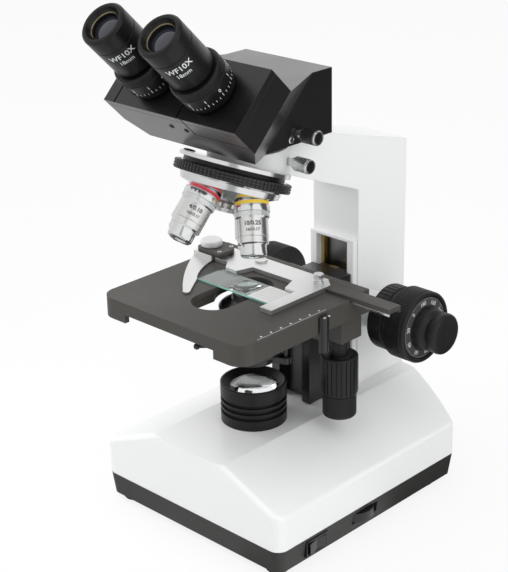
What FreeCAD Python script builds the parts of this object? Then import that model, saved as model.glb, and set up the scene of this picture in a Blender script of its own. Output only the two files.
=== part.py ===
"""Binocular compound microscope, in millimetres.

Z is up and the feet stand on Z = 0. The optical axis of the stage is the Z axis.
The user sits on the -Y side and the user's right hand is on the +X side.
"""
import FreeCAD, Part
from Sketcher import Constraint
import math
import os
from types import SimpleNamespace

V = FreeCAD.Vector
UP = V(0, 0, 1)
ALONG_X = V(1, 0, 0)
ALONG_Y = V(0, 1, 0)

doc = FreeCAD.newDocument("Microscope")
sheet = doc.addObject("Spreadsheet::Sheet", "Sheet")

SIZES = {
    # clearances that repeat
    "gap": 0.3,
    "running": 0.05,
    "backlash": 0.12,
    # base housing and tray
    "base_half": 93.8,
    "base_front": 73.0,
    "base_back": 155.0,
    "base_side_back": 131.0,
    "base_corner": 9.0,
    "shoulder_height": 52.0,
    "deck_height": 75.6,
    "deck_half": 37.0,
    "base_wall": 4.0,
    "ridge_round": 4.0,
    "tray_top": 24.0,
    "tray_bottom": 5.0,
    "tray_inset": 2.6,
    "tray_wall": 3.0,
    "foot_radius": 9.0,
    "foot_side": 78.0,
    "foot_front": 58.0,
    "foot_back": 112.0,
    "switch_length": 23.0,
    "switch_height": 13.0,
    "switch_centre": 32.0,
    "switch_rim": 1.5,
    "switch_proud": 1.6,
    "dimmer_radius": 16.0,
    "dimmer_thick": 7.0,
    "dimmer_centre": 23.6,
    "dimmer_proud": 4.5,
    "dimmer_shaft": 3.0,
    "board_thick": 1.6,
    "inlet_wide": 28.0,
    "inlet_high": 22.0,
    "inlet_deep": 24.0,
    "inlet_offset": 40.0,
    "inlet_level": 50.0,
    # lamp and illuminator
    "lamp_level": 44.0,
    "lamp_radius": 4.5,
    "illuminator_radius": 25.6,
    "illuminator_top": 107.6,
    "illuminator_band": 8.0,
    "groove_high": 3.0,
    "groove_deep": 2.2,
    "rib_high": 2.2,
    "illuminator_neck": 21.0,
    "collector_radius": 16.5,
    "collector_rise": 5.0,
    "collector_seat": 98.5,
    # arm and column
    "column_half": 23.0,
    "column_front": 96.0,
    "column_wall": 5.0,
    "arm_top": 296.0,
    "arm_flat_end": 54.0,
    "arm_back_top": 269.0,
    "nose_radius": 30.0,
    "frame_proud": 5.0,
    "frame_top": 200.0,
    "window_half": 16.0,
    "window_top": 198.0,
    "light_bore": 12.0,
    "guide_wide": 3.0,
    # nosepiece, measured from the point where the objective axes meet
    "apex_height": 317.3,
    "turret_tilt": 22.0,
    "plate_level": 34.4,
    "plate_thick": 3.0,
    "plate_radius": 41.0,
    "race_radius": 37.5,
    "turret_level": 41.0,
    "ring_high": 7.0,
    "ring_radius": 43.3,
    "ring_seat": 39.0,
    "spindle_radius": 5.0,
    "spindle_head": 9.0,
    "port_reach": 63.5,
    "thread_radius": 10.1,
    # objectives, lengths along their own axis from the shoulder
    "shoulder_radius": 12.9,
    "barrel_radius": 11.25,
    "snout_radius": 9.4,
    "colour_ring": 3.0,
    "shoulder_length": 10.0,
    "barrel_length": 30.5,
    "low_length": 39.8,
    "mid_length": 39.2,
    "high_length": 44.4,
    "oil_length": 44.8,
    "front_lens": 4.0,
    # head
    "head_half": 65.0,
    "head_rear_half": 42.5,
    "head_top": 351.0,
    "head_bottom": 303.0,
    "head_back": 43.0,
    "face_level": 291.3,
    "flare_level": 265.5,
    "box_level": 232.6,
    "face_low": 181.0,
    "face_high": 231.5,
    "eye_tilt": 45.0,
    "eye_half": 27.5,
    "plate_split": 8.0,
    "plate_left_end": 55.0,
    "eye_plate_thick": 5.0,
    "eyetube_radius": 14.0,
    "eyetube_bore": 11.75,
    "collar_radius": 20.0,
    "collar_low": 1.5,
    "collar_high": 25.0,
    "eyepiece_radius": 17.0,
    "eyepiece_length": 40.0,
    "eyepiece_level": 66.7,
    "eyepiece_neck_length": 28.0,
    "eye_opening": 10.5,
    "eye_recess": 4.0,
    "dovetail_radius": 21.0,
    "dovetail_deep": 4.0,
    "arm_screw_level": 285.0,
    # stage and its carriage
    "stage_top": 185.5,
    "stage_half": 73.8,
    "stage_front": 86.0,
    "stage_back": 49.0,
    "stage_thick": 4.0,
    "skirt_high": 16.0,
    "skirt_wall": 4.0,
    "notch_half": 46.0,
    "notch_high": 9.4,
    "stage_corner": 13.0,
    "slot_half": 17.0,
    "slot_front": 56.0,
    "slot_back": 17.0,
    "y_travel_back": 25.0,
    "lower_top": 179.5,
    "lower_thick": 7.0,
    "carriage_half": 20.0,
    "carriage_front": 42.0,
    "carriage_bottom": 77.0,
    "post_radius": 4.5,
    "post_high": 28.0,
    "post_centre": 3.0,
    "rack_half": 4.0,
    # cross slide
    "bar_front": 28.0,
    "bar_back": 40.7,
    "bar_right": 110.0,
    "bar_left": 78.0,
    "bar_top": 187.7,
    "bar_sunk": 3.5,
    "trough_floor": 2.2,
    "channel_high": 1.9,
    "x_pinion": 4.5,
    "holder_thick": 1.5,
    "holder_screw": 2.0,
    "slide_length": 76.2,
    "slide_width": 25.4,
    "slide_thick": 1.2,
    "slide_centre": -6.0,
    "holder_arm": 11.5,
    "holder_reach": 31.0,
    "pivot_side": 68.0,
    "pivot_back": 25.5,
    "pivot_pin": 2.5,
    "cap_radius": 8.6,
    "cap_high": 5.0,
    "finger_thick": 1.3,
    "finger_block": 2.5,
    # coaxial drive under the stage
    "drive_side": 58.0,
    "drive_back": 34.0,
    "drive_low": 150.0,
    "tube_radius": 6.5,
    "x_shaft_radius": 3.5,
    "y_knob_radius": 14.25,
    "y_knob_top": 135.5,
    "y_knob_low": 104.0,
    "x_knob_radius": 13.0,
    "x_knob_low": 85.5,
    # condenser
    "condenser_radius": 25.0,
    "condenser_top": 181.2,
    "condenser_low": 140.0,
    "condenser_lens": 12.0,
    "iris_low": 133.5,
    "iris_high": 6.0,
    "filter_low": 126.0,
    "filter_high": 5.0,
    "filter_radius": 18.0,
    "iris_neck": 21.0,
    "hanger_low": 148.0,
    "hanger_high": 18.0,
    "channel_half": 12.0,
    "channel_deep": 8.0,
    "filter_pin": 1.6,
    "filter_side": 24.8,
    "filter_back": 10.3,
    "condenser_knob": 10.0,
    "condenser_pinion": 5.0,
    # focus drive
    "focus_back": 104.0,
    "focus_height": 141.0,
    "coarse_radius": 28.5,
    "coarse_outer": 85.0,
    "coarse_inner": 64.0,
    "tension_radius": 26.0,
    "tension_inner": 47.0,
    "coarse_shaft": 6.0,
    "dial_radius": 24.5,
    "boss_radius": 15.0,
    "fine_shaft": 4.0,
    "fine_hub": 17.0,
    "fine_neck": 12.0,
    "fine_radius": 16.3,
    "fine_end": 105.0,
    "pinion_radius": 7.0,
    # lock screws
    "screw_shank": 3.0,
    "screw_grip": 5.5,
    "screw_grip_length": 14.0,
}

for row, (alias, value) in enumerate(SIZES.items(), start=1):
    sheet.set("A%d" % row, alias)
    sheet.set("B%d" % row, str(value))
    sheet.setAlias("B%d" % row, alias)
doc.recompute()


class Size:
    """A number together with the spreadsheet formula that gives it."""

    def __init__(self, value, text):
        self.value = value
        self.text = text

    def __float__(self):
        return float(self.value)

    def __neg__(self):
        return Size(-self.value, "(-%s)" % self.text)

    def __add__(self, other):
        other = as_size(other)
        return Size(self.value + other.value, "(%s + %s)" % (self.text, other.text))

    def __radd__(self, other):
        return as_size(other) + self

    def __sub__(self, other):
        other = as_size(other)
        return Size(self.value - other.value, "(%s - %s)" % (self.text, other.text))

    def __rsub__(self, other):
        return as_size(other) - self

    def __mul__(self, other):
        other = as_size(other)
        return Size(self.value * other.value, "(%s * %s)" % (self.text, other.text))

    def __rmul__(self, other):
        return as_size(other) * self

    def __truediv__(self, other):
        other = as_size(other)
        return Size(self.value / other.value, "(%s / %s)" % (self.text, other.text))


def as_size(number):
    if isinstance(number, Size):
        return number
    return Size(float(number), "%.6f" % number)


d = SimpleNamespace(**{alias: Size(float(sheet.get(alias)), "Sheet." + alias) for alias in SIZES})
NODES = {}


def vec(x, y, z):
    return V(float(x), float(y), float(z))


def keep(label, item):
    """Files the finished object under the name of its sub-part."""
    item.Label = label
    NODES[label] = item
    return item


def place(item, x=0, y=0, z=0, axis=UP, angle=0):
    """Puts an object at a point and turns it, with both bound to the sheet."""
    item.Placement = FreeCAD.Placement(vec(x, y, z), FreeCAD.Rotation(axis, float(angle)))
    for side, number in (("x", x), ("y", y), ("z", z)):
        if isinstance(number, Size):
            item.setExpression("Placement.Base." + side, number.text)
    if isinstance(angle, Size):
        item.setExpression("Placement.Rotation.Angle", angle.text)
    return item


def new_body(label):
    return keep(label, doc.addObject("PartDesign::Body", label))


def new_sketch(body, name, plane):
    sketch = body.newObject("Sketcher::SketchObject", name)
    for feature in body.Origin.OriginFeatures:
        if feature.Role == plane:
            sketch.AttachmentSupport = [(feature, "")]
    sketch.MapMode = "FlatFace"
    return sketch


def draw_outline(sketch, corners):
    """Draws a closed outline of straight lines with every corner bound to the sheet."""
    first = sketch.GeometryCount
    points = [(as_size(u), as_size(w)) for u, w in corners]
    for index, (u, w) in enumerate(points):
        next_u, next_w = points[(index + 1) % len(points)]
        sketch.addGeometry(Part.LineSegment(vec(u, w, 0), vec(next_u, next_w, 0)), False)
    for index, (u, w) in enumerate(points):
        line = first + index
        following = first + (index + 1) % len(points)
        sketch.addConstraint(Constraint("Coincident", line, 2, following, 1))
        for kind, number in (("DistanceX", u), ("DistanceY", w)):
            datum = sketch.addConstraint(Constraint(kind, -1, 1, line, 1, number.value))
            sketch.setExpression("Constraints[%d]" % datum, number.text)


def turned(label, corners):
    """A piece turned about its own Z axis from a half section of (radius, height)."""
    body = new_body(label)
    sketch = new_sketch(body, label + "_section", "XZ_Plane")
    draw_outline(sketch, corners)
    feature = body.newObject("PartDesign::Revolution", label + "_turn")
    feature.Profile = sketch
    feature.ReferenceAxis = (sketch, ["V_Axis"])
    feature.Angle = 360
    body.Tip = feature
    return body


def solid(label, shape):
    """A piece whose form comes from the part functions, with its sizes read from the sheet."""
    item = keep(label, doc.addObject("Part::Feature", label))
    item.Shape = shape
    return item


class Piece:
    """A primitive or cut of the document whose sizes are bound to the sheet."""

    def __init__(self, item):
        self.item = item

    def cut(self, tool):
        item = doc.addObject("Part::Cut", "Step")
        item.Base = self.item
        item.Tool = tool.item
        item.Refine = True
        return Piece(item)


def block(x0, y0, z0, x1, y1, z1):
    """A box between two corners."""
    item = doc.addObject("Part::Box", "Block")
    for name, low, high in (("Length", x0, x1), ("Width", y0, y1), ("Height", z0, z1)):
        item.setExpression(name, (as_size(high) - as_size(low)).text)
    for side, low in (("x", x0), ("y", y0), ("z", z0)):
        item.setExpression("Placement.Base." + side, as_size(low).text)
    return Piece(item)


def dowel(radius, x, y, z, length, along="z"):
    """A cylinder from a point along one of the three axes."""
    item = doc.addObject("Part::Cylinder", "Dowel")
    turns = {"x": FreeCAD.Rotation(ALONG_Y, 90), "y": FreeCAD.Rotation(ALONG_X, -90), "z": FreeCAD.Rotation()}
    item.Placement = FreeCAD.Placement(V(0, 0, 0), turns[along])
    item.setExpression("Radius", as_size(radius).text)
    item.setExpression("Height", as_size(length).text)
    for side, number in (("x", x), ("y", y), ("z", z)):
        item.setExpression("Placement.Base." + side, as_size(number).text)
    return Piece(item)


def made(label, piece):
    return keep(label, piece.item)


def box(x0, y0, z0, x1, y1, z1):
    corner = vec(x0, y0, z0)
    return Part.makeBox(float(x1) - float(x0), float(y1) - float(y0), float(z1) - float(z0), corner)


def rod(radius, start, end):
    axis = end - start
    return Part.makeCylinder(float(radius), axis.Length, start, axis)


def prism(points, direction):
    """A solid swept from a flat outline of straight lines."""
    wire = Part.makePolygon(list(points) + [points[0]])
    return Part.Face(wire).extrude(direction)


def turn_section(corners):
    """A shape turned about the Z axis from a half section of (radius, height)."""
    points = [vec(reach, 0, level) for reach, level in corners]
    return Part.Face(Part.makePolygon(points + [points[0]])).revolve(V(0, 0, 0), UP, 360)


def round_edges(shape, radius, chosen):
    edges = [edge for edge in shape.Edges if chosen(edge)]
    return shape.makeFillet(float(radius), edges)


def upright(edge):
    ends = [vertex.Point for vertex in edge.Vertexes]
    return len(ends) == 2 and abs(ends[0].x - ends[1].x) < 0.01 and abs(ends[0].y - ends[1].y) < 0.01


# Gearing: involute pinions and straight-flanked racks that mesh at rest.
PRESSURE = math.radians(20)
TEETH = 20
X_TEETH = 18


def involute(angle):
    return math.tan(angle) - angle


def pinion_face(radius, teeth):
    """The outline of a spur pinion in its own XY plane, with a tooth on the -Y axis."""
    radius = float(radius)
    module = 2 * radius / teeth
    base = radius * math.cos(PRESSURE)
    root = radius - 1.25 * module
    half = math.pi / (2 * teeth) - float(d.backlash) / (2 * radius) + involute(PRESSURE)
    flank = [(root, half), (base, half)]
    for step in (1, 2, 3, 4):
        reach = base + (radius + module - base) * step / 4
        flank.append((reach, half - involute(math.acos(base / reach))))
    points = []
    for tooth in range(teeth):
        middle = 2 * math.pi * tooth / teeth - math.pi / 2
        for reach, off in flank:
            points.append((reach, middle - off))
        for reach, off in reversed(flank):
            points.append((reach, middle + off))
    corners = [V(reach * math.cos(angle), reach * math.sin(angle), 0) for reach, angle in points]
    return Part.Face(Part.makePolygon(corners + [corners[0]]))


def rack_face(radius, teeth, low, high, back):
    """A rack along +X whose teeth point to +Y, with its pitch line at Y = 0 and a gap at X = 0."""
    module = 2 * float(radius) / teeth
    pitch = math.pi * module
    lean = math.tan(PRESSURE) * module
    quarter = pitch / 4 - float(d.backlash) / 2
    first = math.ceil((low + pitch / 2) / pitch)
    last = math.floor((high - pitch / 2) / pitch)
    points = [V(low, -back, 0), V(low, -1.25 * module, 0)]
    for tooth in range(first, last):
        middle = (tooth + 0.5) * pitch
        points += [V(middle - quarter - 1.25 * lean, -1.25 * module, 0), V(middle - quarter + lean, module, 0),
                   V(middle + quarter - lean, module, 0), V(middle + quarter + 1.25 * lean, -1.25 * module, 0)]
    points += [V(high, -1.25 * module, 0), V(high, -back, 0)]
    return Part.Face(Part.makePolygon(points + [points[0]]))


def swept(face, length, origin, along, across):
    """Sweeps a flat face whose own X and Y lie along two given directions."""
    shape = face.extrude(V(0, 0, float(length)))
    shape.Placement = FreeCAD.Placement(origin, FreeCAD.Rotation(along, across, along.cross(across), "XYZ"))
    return shape


# Plan outline of the base: a straight front with round corners and a bowed back.
def plan_wire(inset, level):
    half = float(d.base_half) - inset
    front = -(float(d.base_front) - inset)
    side = float(d.base_side_back) - inset * 0.5
    back = float(d.base_back) - inset
    corner = max(float(d.base_corner) - inset, 1.0)
    middle = corner * (1 - math.sqrt(0.5))
    left_low = V(-half, front + corner, level)
    left_in = V(-half + corner, front, level)
    right_in = V(half - corner, front, level)
    right_low = V(half, front + corner, level)
    return Part.Wire([
        Part.Arc(left_low, V(-half + middle, front + middle, level), left_in).toShape(),
        Part.LineSegment(left_in, right_in).toShape(),
        Part.Arc(right_in, V(half - middle, front + middle, level), right_low).toShape(),
        Part.LineSegment(right_low, V(half, side, level)).toShape(),
        Part.Arc(V(half, side, level), V(0, back, level), V(-half, side, level)).toShape(),
        Part.LineSegment(V(-half, side, level), left_low).toShape(),
    ])


def plan_prism(inset, low, high):
    return Part.Face(plan_wire(inset, float(low))).extrude(V(0, 0, float(high) - float(low)))


def roof_prism(inset, low):
    """The front profile of the base, swept from front to back."""
    half = d.base_half - inset
    shoulder = d.shoulder_height - inset * 0.5
    deck = d.deck_height - inset
    ridge = d.deck_half - inset * 0.3
    start = -d.base_front - 10
    outline = [
        vec(-half, start, low), vec(half, start, low), vec(half, start, shoulder),
        vec(ridge, start, deck), vec(-ridge, start, deck), vec(-half, start, shoulder),
    ]
    return prism(outline, vec(0, d.base_front + d.base_back + 20, 0))


def base_housing():
    outer = plan_prism(0, d.tray_top, d.deck_height).common(roof_prism(0, d.tray_top))
    ridge = [float(d.deck_half), float(d.base_half)]

    def is_ridge(edge):
        low = edge.BoundBox
        along = low.YLength > 100 and low.XLength < 0.01 and low.ZLength < 0.01
        return along and low.ZMin > float(d.shoulder_height) - 1 and min(abs(abs(low.XMin) - r) for r in ridge) < 0.5

    outer = round_edges(outer, d.ridge_round, is_ridge)
    inner = plan_prism(float(d.base_wall), d.tray_top - 1, d.deck_height)
    inner = inner.common(roof_prism(d.base_wall, d.tray_top - 1))
    shape = outer.cut(inner)
    neck = d.illuminator_neck + d.gap
    shape = shape.cut(rod(neck, vec(0, 0, d.shoulder_height), vec(0, 0, d.deck_height + 1)))
    return shape.cut(inlet_block(d.gap))


def inlet_block(clearance):
    wide = d.inlet_wide / 2 + clearance
    high = d.inlet_high / 2 + clearance
    centre = -d.inlet_offset
    back = d.base_back - 2
    return box(centre - wide, back - d.inlet_deep, d.inlet_level - high, centre + wide, back + 4, d.inlet_level + high)


def base_tray():
    low = plan_wire(float(d.tray_inset), float(d.tray_bottom))
    high = plan_wire(0, float(d.tray_top))
    outer = Part.makeLoft([low, high], True, True)
    floor = d.tray_bottom + d.tray_wall
    shape = outer.cut(plan_prism(float(d.tray_inset + d.tray_wall), floor, d.tray_top + 1))
    half = d.base_half
    middle = (d.tray_bottom + d.tray_top) / 2
    reach = d.switch_length / 2 + d.gap
    tall = d.switch_height / 2 + d.gap
    shape = shape.cut(box(half - 12, -d.switch_centre - reach, middle - tall,
                          half + 5, -d.switch_centre + reach, middle + tall))
    reach = d.dimmer_radius - 1.5
    tall = d.dimmer_thick / 2 + 1
    return shape.cut(box(half - 12, d.dimmer_centre - reach, middle + 1.5 - tall,
                         half + 5, d.dimmer_centre + reach, middle + 1.5 + tall))


solid("base_housing", base_housing())
solid("base_tray", base_tray())

feet = []
for side in (-1, 1):
    for back in (-d.foot_front, d.foot_back):
        centre = vec(side * float(d.foot_side), back, 0)
        foot = rod(d.foot_radius, centre, centre + vec(0, 0, d.tray_bottom))
        feet.append(round_edges(foot, 1.2, lambda edge: edge.BoundBox.ZMax < 0.1))
solid("feet", Part.makeCompound(feet))

# Power switch: a bezel let into the right wall of the tray and a rocker that tips in it.
switch_middle = (d.tray_bottom + d.tray_top) / 2
switch_face = d.base_half - d.tray_inset / 2 + d.switch_proud


def switch_block(inset, back, face):
    reach = d.switch_length / 2 - inset
    tall = d.switch_height / 2 - inset
    return box(back, -d.switch_centre - reach, switch_middle - tall,
               face, -d.switch_centre + reach, switch_middle + tall)


rocker_pin = 1.2
pin_reach = d.switch_height / 2 - 0.5


def rocker_axle(radius):
    foot = vec(switch_face - 4.2, -d.switch_centre, switch_middle - pin_reach)
    return rod(radius, foot, foot + vec(0, 0, 2 * pin_reach))


bezel = switch_block(0, d.base_half - 14, switch_face)
bezel = bezel.cut(switch_block(d.switch_rim, d.base_half - 12, switch_face + 5))
solid("switch_bezel", bezel.cut(rocker_axle(rocker_pin + float(d.running))))
rocker_half = d.switch_length / 2 - d.switch_rim - 0.8
rocker_tall = d.switch_height / 2 - d.switch_rim - 0.4
rocker_peak = switch_face + 1.6
rocker_ends = [vec(rocker_peak, -d.switch_centre - rocker_half, switch_middle - rocker_tall),
               vec(switch_face - 0.4, -d.switch_centre, switch_middle - rocker_tall),
               vec(switch_face + 0.3, -d.switch_centre + rocker_half, switch_middle - rocker_tall),
               vec(switch_face - 4.5, -d.switch_centre + rocker_half - 1.5, switch_middle - rocker_tall),
               vec(switch_face - 8, -d.switch_centre, switch_middle - rocker_tall),
               vec(switch_face - 4.5, -d.switch_centre - rocker_half + 1.5, switch_middle - rocker_tall)]
rocker = prism(rocker_ends, vec(0, 0, 2 * rocker_tall)).fuse(rocker_axle(rocker_pin))
solid("switch_rocker", rocker.removeSplitter())

# Brightness wheel on an upright shaft, with the board that carries it and the lamp socket.
wheel_x = d.base_half - d.tray_inset / 2 + d.dimmer_proud - d.dimmer_radius
wheel_low = switch_middle + 1.5 - d.dimmer_thick / 2
board_low = d.tray_bottom + d.tray_wall
wheel = turned("dimmer_wheel", [
    (d.dimmer_shaft + d.running, 0), (d.dimmer_radius, 0),
    (d.dimmer_radius, d.dimmer_thick), (d.dimmer_shaft + d.running, d.dimmer_thick)])
place(wheel, wheel_x, d.dimmer_centre, wheel_low)

board_end = d.base_half - d.tray_inset - d.tray_wall - d.gap
board = box(-30, -20, board_low, board_end, d.dimmer_centre + 12, board_low + d.board_thick)
board = board.fuse(rod(d.dimmer_shaft, vec(wheel_x, d.dimmer_centre, board_low),
                       vec(wheel_x, d.dimmer_centre, wheel_low + d.dimmer_thick + 1)))
board = board.fuse(rod(6, vec(wheel_x, d.dimmer_centre, board_low),
                       vec(wheel_x, d.dimmer_centre, wheel_low - d.gap)))
socket_top = d.lamp_level - 6
board = board.fuse(box(-9, -7, board_low, 9, 7, socket_top))
solid("lamp_board", board.removeSplitter())

bulb = rod(d.lamp_radius, vec(0, 0, socket_top), vec(0, 0, d.lamp_level + 4))
bulb = bulb.fuse(Part.makeSphere(float(d.lamp_radius), vec(0, 0, d.lamp_level + 4)))
solid("lamp_bulb", bulb)

inlet = inlet_block(0)
inlet_centre = vec(-d.inlet_offset, 0, d.inlet_level)
inlet_face = d.base_back + 2
recess = box(-d.inlet_offset - 11, inlet_face - 16, d.inlet_level - 4,
             -d.inlet_offset + 11, inlet_face + 1, d.inlet_level + 9)
inlet = inlet.cut(recess)
for pin_x, pin_z in ((-7, 1), (0, 4.5), (7, 1)):
    pin = box(inlet_centre.x + pin_x - 1, inlet_face - 17, inlet_centre.z + pin_z - 2,
              inlet_centre.x + pin_x + 1, inlet_face - 2, inlet_centre.z + pin_z + 2)
    inlet = inlet.fuse(pin)
drawer = box(-d.inlet_offset - 9, inlet_face - 1, d.inlet_level - 9.5, -d.inlet_offset + 9, inlet_face + 1, d.inlet_level - 5)
solid("mains_inlet", inlet.fuse(drawer))

# Illuminator: a ribbed turned housing with a lens let into a sloping mouth.
low_band = d.deck_height + d.illuminator_band
illuminator = [
    (d.illuminator_neck - 3, d.deck_height - 10), (d.illuminator_neck, d.deck_height - 10),
    (d.illuminator_neck, d.deck_height), (d.illuminator_radius, d.deck_height),
]
level = low_band
for step in range(3):
    illuminator.append((d.illuminator_radius, level))
    illuminator.append((d.illuminator_radius - d.groove_deep, level))
    illuminator.append((d.illuminator_radius - d.groove_deep, level + d.groove_high))
    illuminator.append((d.illuminator_radius, level + d.groove_high))
    level = level + d.groove_high + d.rib_high
illuminator += [
    (d.illuminator_radius, d.illuminator_top - 0.6), (d.illuminator_radius - 0.6, d.illuminator_top),
    (d.illuminator_radius - 1.6, d.illuminator_top), (d.collector_radius + 1, d.collector_seat + d.collector_rise - 1),
    (d.collector_radius + d.running, d.collector_seat + 2), (d.collector_radius + d.running, d.collector_seat),
    (d.collector_radius - 1.5, d.collector_seat), (d.collector_radius - 1.5, d.deck_height - 4),
    (d.illuminator_neck - 3, d.deck_height - 4),
]
turned("illuminator_housing", illuminator)


def lens(radius, rise, edge, base):
    """A plano-convex lens, flat side down at the given level."""
    radius = float(radius)
    rise = float(rise)
    sphere = (radius ** 2 + rise ** 2) / (2 * rise)
    ball = Part.makeSphere(sphere, V(0, 0, base + edge + rise - sphere))
    return ball.common(Part.makeCylinder(radius, edge + rise, V(0, 0, base)))


solid("collector_lens", lens(d.collector_radius, d.collector_rise, 1.5, float(d.collector_seat)))

# Frame of the nosepiece: its axis leans forward at the bottom and passes through the apex.
tilt = math.radians(float(d.turret_tilt))
apex = vec(0, 0, d.apex_height)
turret_place = FreeCAD.Placement(apex, FreeCAD.Rotation(ALONG_X, -float(d.turret_tilt)))


def below_plate(offset):
    """Height of the arm's sloping underside at a distance behind the optical axis."""
    return float(d.apex_height) - (float(d.plate_level) + offset * math.sin(tilt)) / math.cos(tilt)


def arm_casting():
    front = float(d.column_front)
    back = float(d.base_back)
    reach = float(d.nose_radius) + 2
    outline = [
        vec(0, front, d.deck_height), V(0, front, below_plate(front)), V(0, -reach, below_plate(-reach)),
        vec(0, -reach, d.arm_top), vec(0, d.arm_flat_end, d.arm_top), vec(0, back, d.arm_back_top),
        vec(0, back, d.deck_height),
    ]
    half = float(d.column_half)
    wide = float(d.nose_radius)
    narrow = prism([p - V(half, 0, 0) for p in outline], V(2 * half, 0, 0))
    broad = prism([p - V(wide, 0, 0) for p in outline], V(2 * wide, 0, 0))
    nose = broad.common(rod(wide, V(0, 0, 0), V(0, 0, 400)))
    body = narrow.common(box(-half, 0, 0, half, 300, 400))
    body = body.common(plan_prism(0, 0, 400))
    shape = body.fuse(nose)
    frame = box(-half + 1, front - float(d.frame_proud), d.deck_height, half - 1, front + 1, d.frame_top)
    shape = shape.fuse(frame).removeSplitter()
    wall = float(d.column_wall)
    well = box(-half + wall, front + wall, d.deck_height + 4, half - wall, back - wall - 3, d.window_top + 12)
    window = box(-d.window_half, front - 10, d.deck_height + 0.5, d.window_half, front + wall + 1, d.window_top)
    shape = shape.cut(well).cut(window)
    shape = shape.cut(rod(d.light_bore, V(0, 0, 200), V(0, 0, 400)))
    recess = d.dovetail_radius + d.running
    shape = shape.cut(rod(recess, vec(0, 0, d.arm_top - d.dovetail_deep), vec(0, 0, d.arm_top + 1)))
    bore = float(d.coarse_shaft + d.running)
    axle = vec(0, d.focus_back, d.focus_height)
    boss_end = float(d.coarse_inner) - 2
    for side in (-1, 1):
        shape = shape.fuse(rod(d.boss_radius, axle + V(side * (half - 2), 0, 0), axle + V(side * boss_end, 0, 0)))
    shape = shape.cut(rod(bore, axle - V(90, 0, 0), axle + V(90, 0, 0)))
    screw = vec(0, 14, 285)
    return shape.cut(rod(d.screw_shank + d.running, screw + V(10, 0, 0), screw + V(40, 0, 0)))


solid("arm_casting", arm_casting())

guides = []
axle_room = rod(d.coarse_shaft + d.gap, vec(-30, d.focus_back, d.focus_height), vec(30, d.focus_back, d.focus_height))
for side in (-1, 1):
    edge = side * float(d.window_half)
    inner = edge - side * float(d.guide_wide)
    strip = box(min(edge, inner), d.column_front + 1, d.deck_height + 4,
                max(edge, inner), d.column_front + d.column_wall, d.window_top)
    guides.append(strip.cut(axle_room))
solid("guide_strips", Part.makeCompound(guides))

# Nosepiece plate on the arm, and the spindle that the turret turns on.
plate = turned("nosepiece_plate", [
    (d.spindle_radius, -d.plate_level - d.plate_thick), (d.race_radius - 12, -d.plate_level - d.plate_thick),
    (d.race_radius - 12, -d.turret_level + d.gap), (d.race_radius, -d.turret_level + d.gap),
    (d.race_radius, -d.plate_level - d.plate_thick), (d.plate_radius, -d.plate_level - d.plate_thick),
    (d.plate_radius, -d.plate_level), (d.spindle_radius, -d.plate_level)])
place(plate, 0, 0, d.apex_height, ALONG_X, -d.turret_tilt)
hub_low = -d.port_reach * math.cos(tilt) - 9
spindle = turned("nosepiece_spindle", [
    (0, -d.plate_level), (d.spindle_radius, -d.plate_level), (d.spindle_radius, hub_low),
    (d.spindle_head, hub_low), (d.spindle_head - 1, hub_low - 3), (0, hub_low - 3)])
place(spindle, 0, 0, d.apex_height, ALONG_X, -d.turret_tilt)


def turret_body():
    """A dished disc whose sloping underside is square to each objective."""
    slope = math.tan(tilt)
    port_r = float(d.port_reach) * math.sin(tilt)
    port_z = -float(d.port_reach) * math.cos(tilt)
    top = -float(d.turret_level)
    ring_low = top - float(d.ring_high)
    rim = float(d.ring_seat)
    hub = float(d.spindle_radius + d.running)
    inner = float(d.spindle_head) + 1
    section = [
        V(hub, 0, top), V(rim, 0, top), V(rim, 0, ring_low), V(rim - 1.5, 0, ring_low - 1.5),
        V(rim - 2.5, 0, port_z + (rim - 2.5 - port_r) * slope), V(inner, 0, port_z + (inner - port_r) * slope),
        V(hub, 0, port_z + (inner - port_r) * slope),
    ]
    wire = Part.makePolygon(section + [section[0]])
    shape = Part.Face(wire).revolve(V(0, 0, 0), UP, 360)
    for quarter in range(4):
        turn = FreeCAD.Rotation(UP, 90 * quarter)
        along = turn.multVec(V(math.sin(tilt), 0, -math.cos(tilt)))
        shape = shape.cut(rod(d.thread_radius + d.running, along * 38, along * 80))
    return shape


turret = solid("turret_body", turret_body())
turret.Placement = turret_place
ring = turned("turret_ring", [
    (d.ring_seat, -d.turret_level), (d.ring_radius - 0.8, -d.turret_level),
    (d.ring_radius, -d.turret_level - 0.8), (d.ring_radius, -d.turret_level - d.ring_high * 0.43),
    (d.ring_radius - 1.2, -d.turret_level - d.ring_high * 0.5), (d.ring_radius, -d.turret_level - d.ring_high * 0.57),
    (d.ring_radius, -d.turret_level - d.ring_high + 0.8), (d.ring_radius - 0.8, -d.turret_level - d.ring_high),
    (d.ring_seat, -d.turret_level - d.ring_high)])
place(ring, 0, 0, d.apex_height, ALONG_X, -d.turret_tilt)


def objective(label, length, snout, quarter):
    """An objective along its own -Z axis, turned round the nosepiece to its port."""
    seat = -d.port_reach
    barrel_end = seat - d.barrel_length
    bore = d.front_lens
    tip = seat - length
    section = [
        (bore, seat + 5), (d.thread_radius, seat + 5), (d.thread_radius, seat),
        (d.shoulder_radius - 0.8, seat), (d.shoulder_radius - 0.8, seat - d.colour_ring),
        (d.shoulder_radius, seat - d.colour_ring - 0.6), (d.shoulder_radius, seat - d.shoulder_length),
        (d.barrel_radius, seat - d.shoulder_length - 1.2), (d.barrel_radius, barrel_end),
        (d.snout_radius, barrel_end - 0.8)]
    if snout:
        section += [(d.snout_radius, tip + 7), (bore + 1.8, tip + 0.6), (bore + 1, tip)]
    else:
        section += [(d.snout_radius, tip + 1), (d.snout_radius - 1, tip)]
    section += [(bore, tip)]
    body = turned(label, section)
    start = FreeCAD.Placement(apex, FreeCAD.Rotation())
    axis = turret_place.Rotation.multVec(UP)
    turn = FreeCAD.Placement(V(0, 0, 0), FreeCAD.Rotation(axis, 90.0 * quarter), apex)
    body.Placement = turn.multiply(start)
    return body


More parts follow.
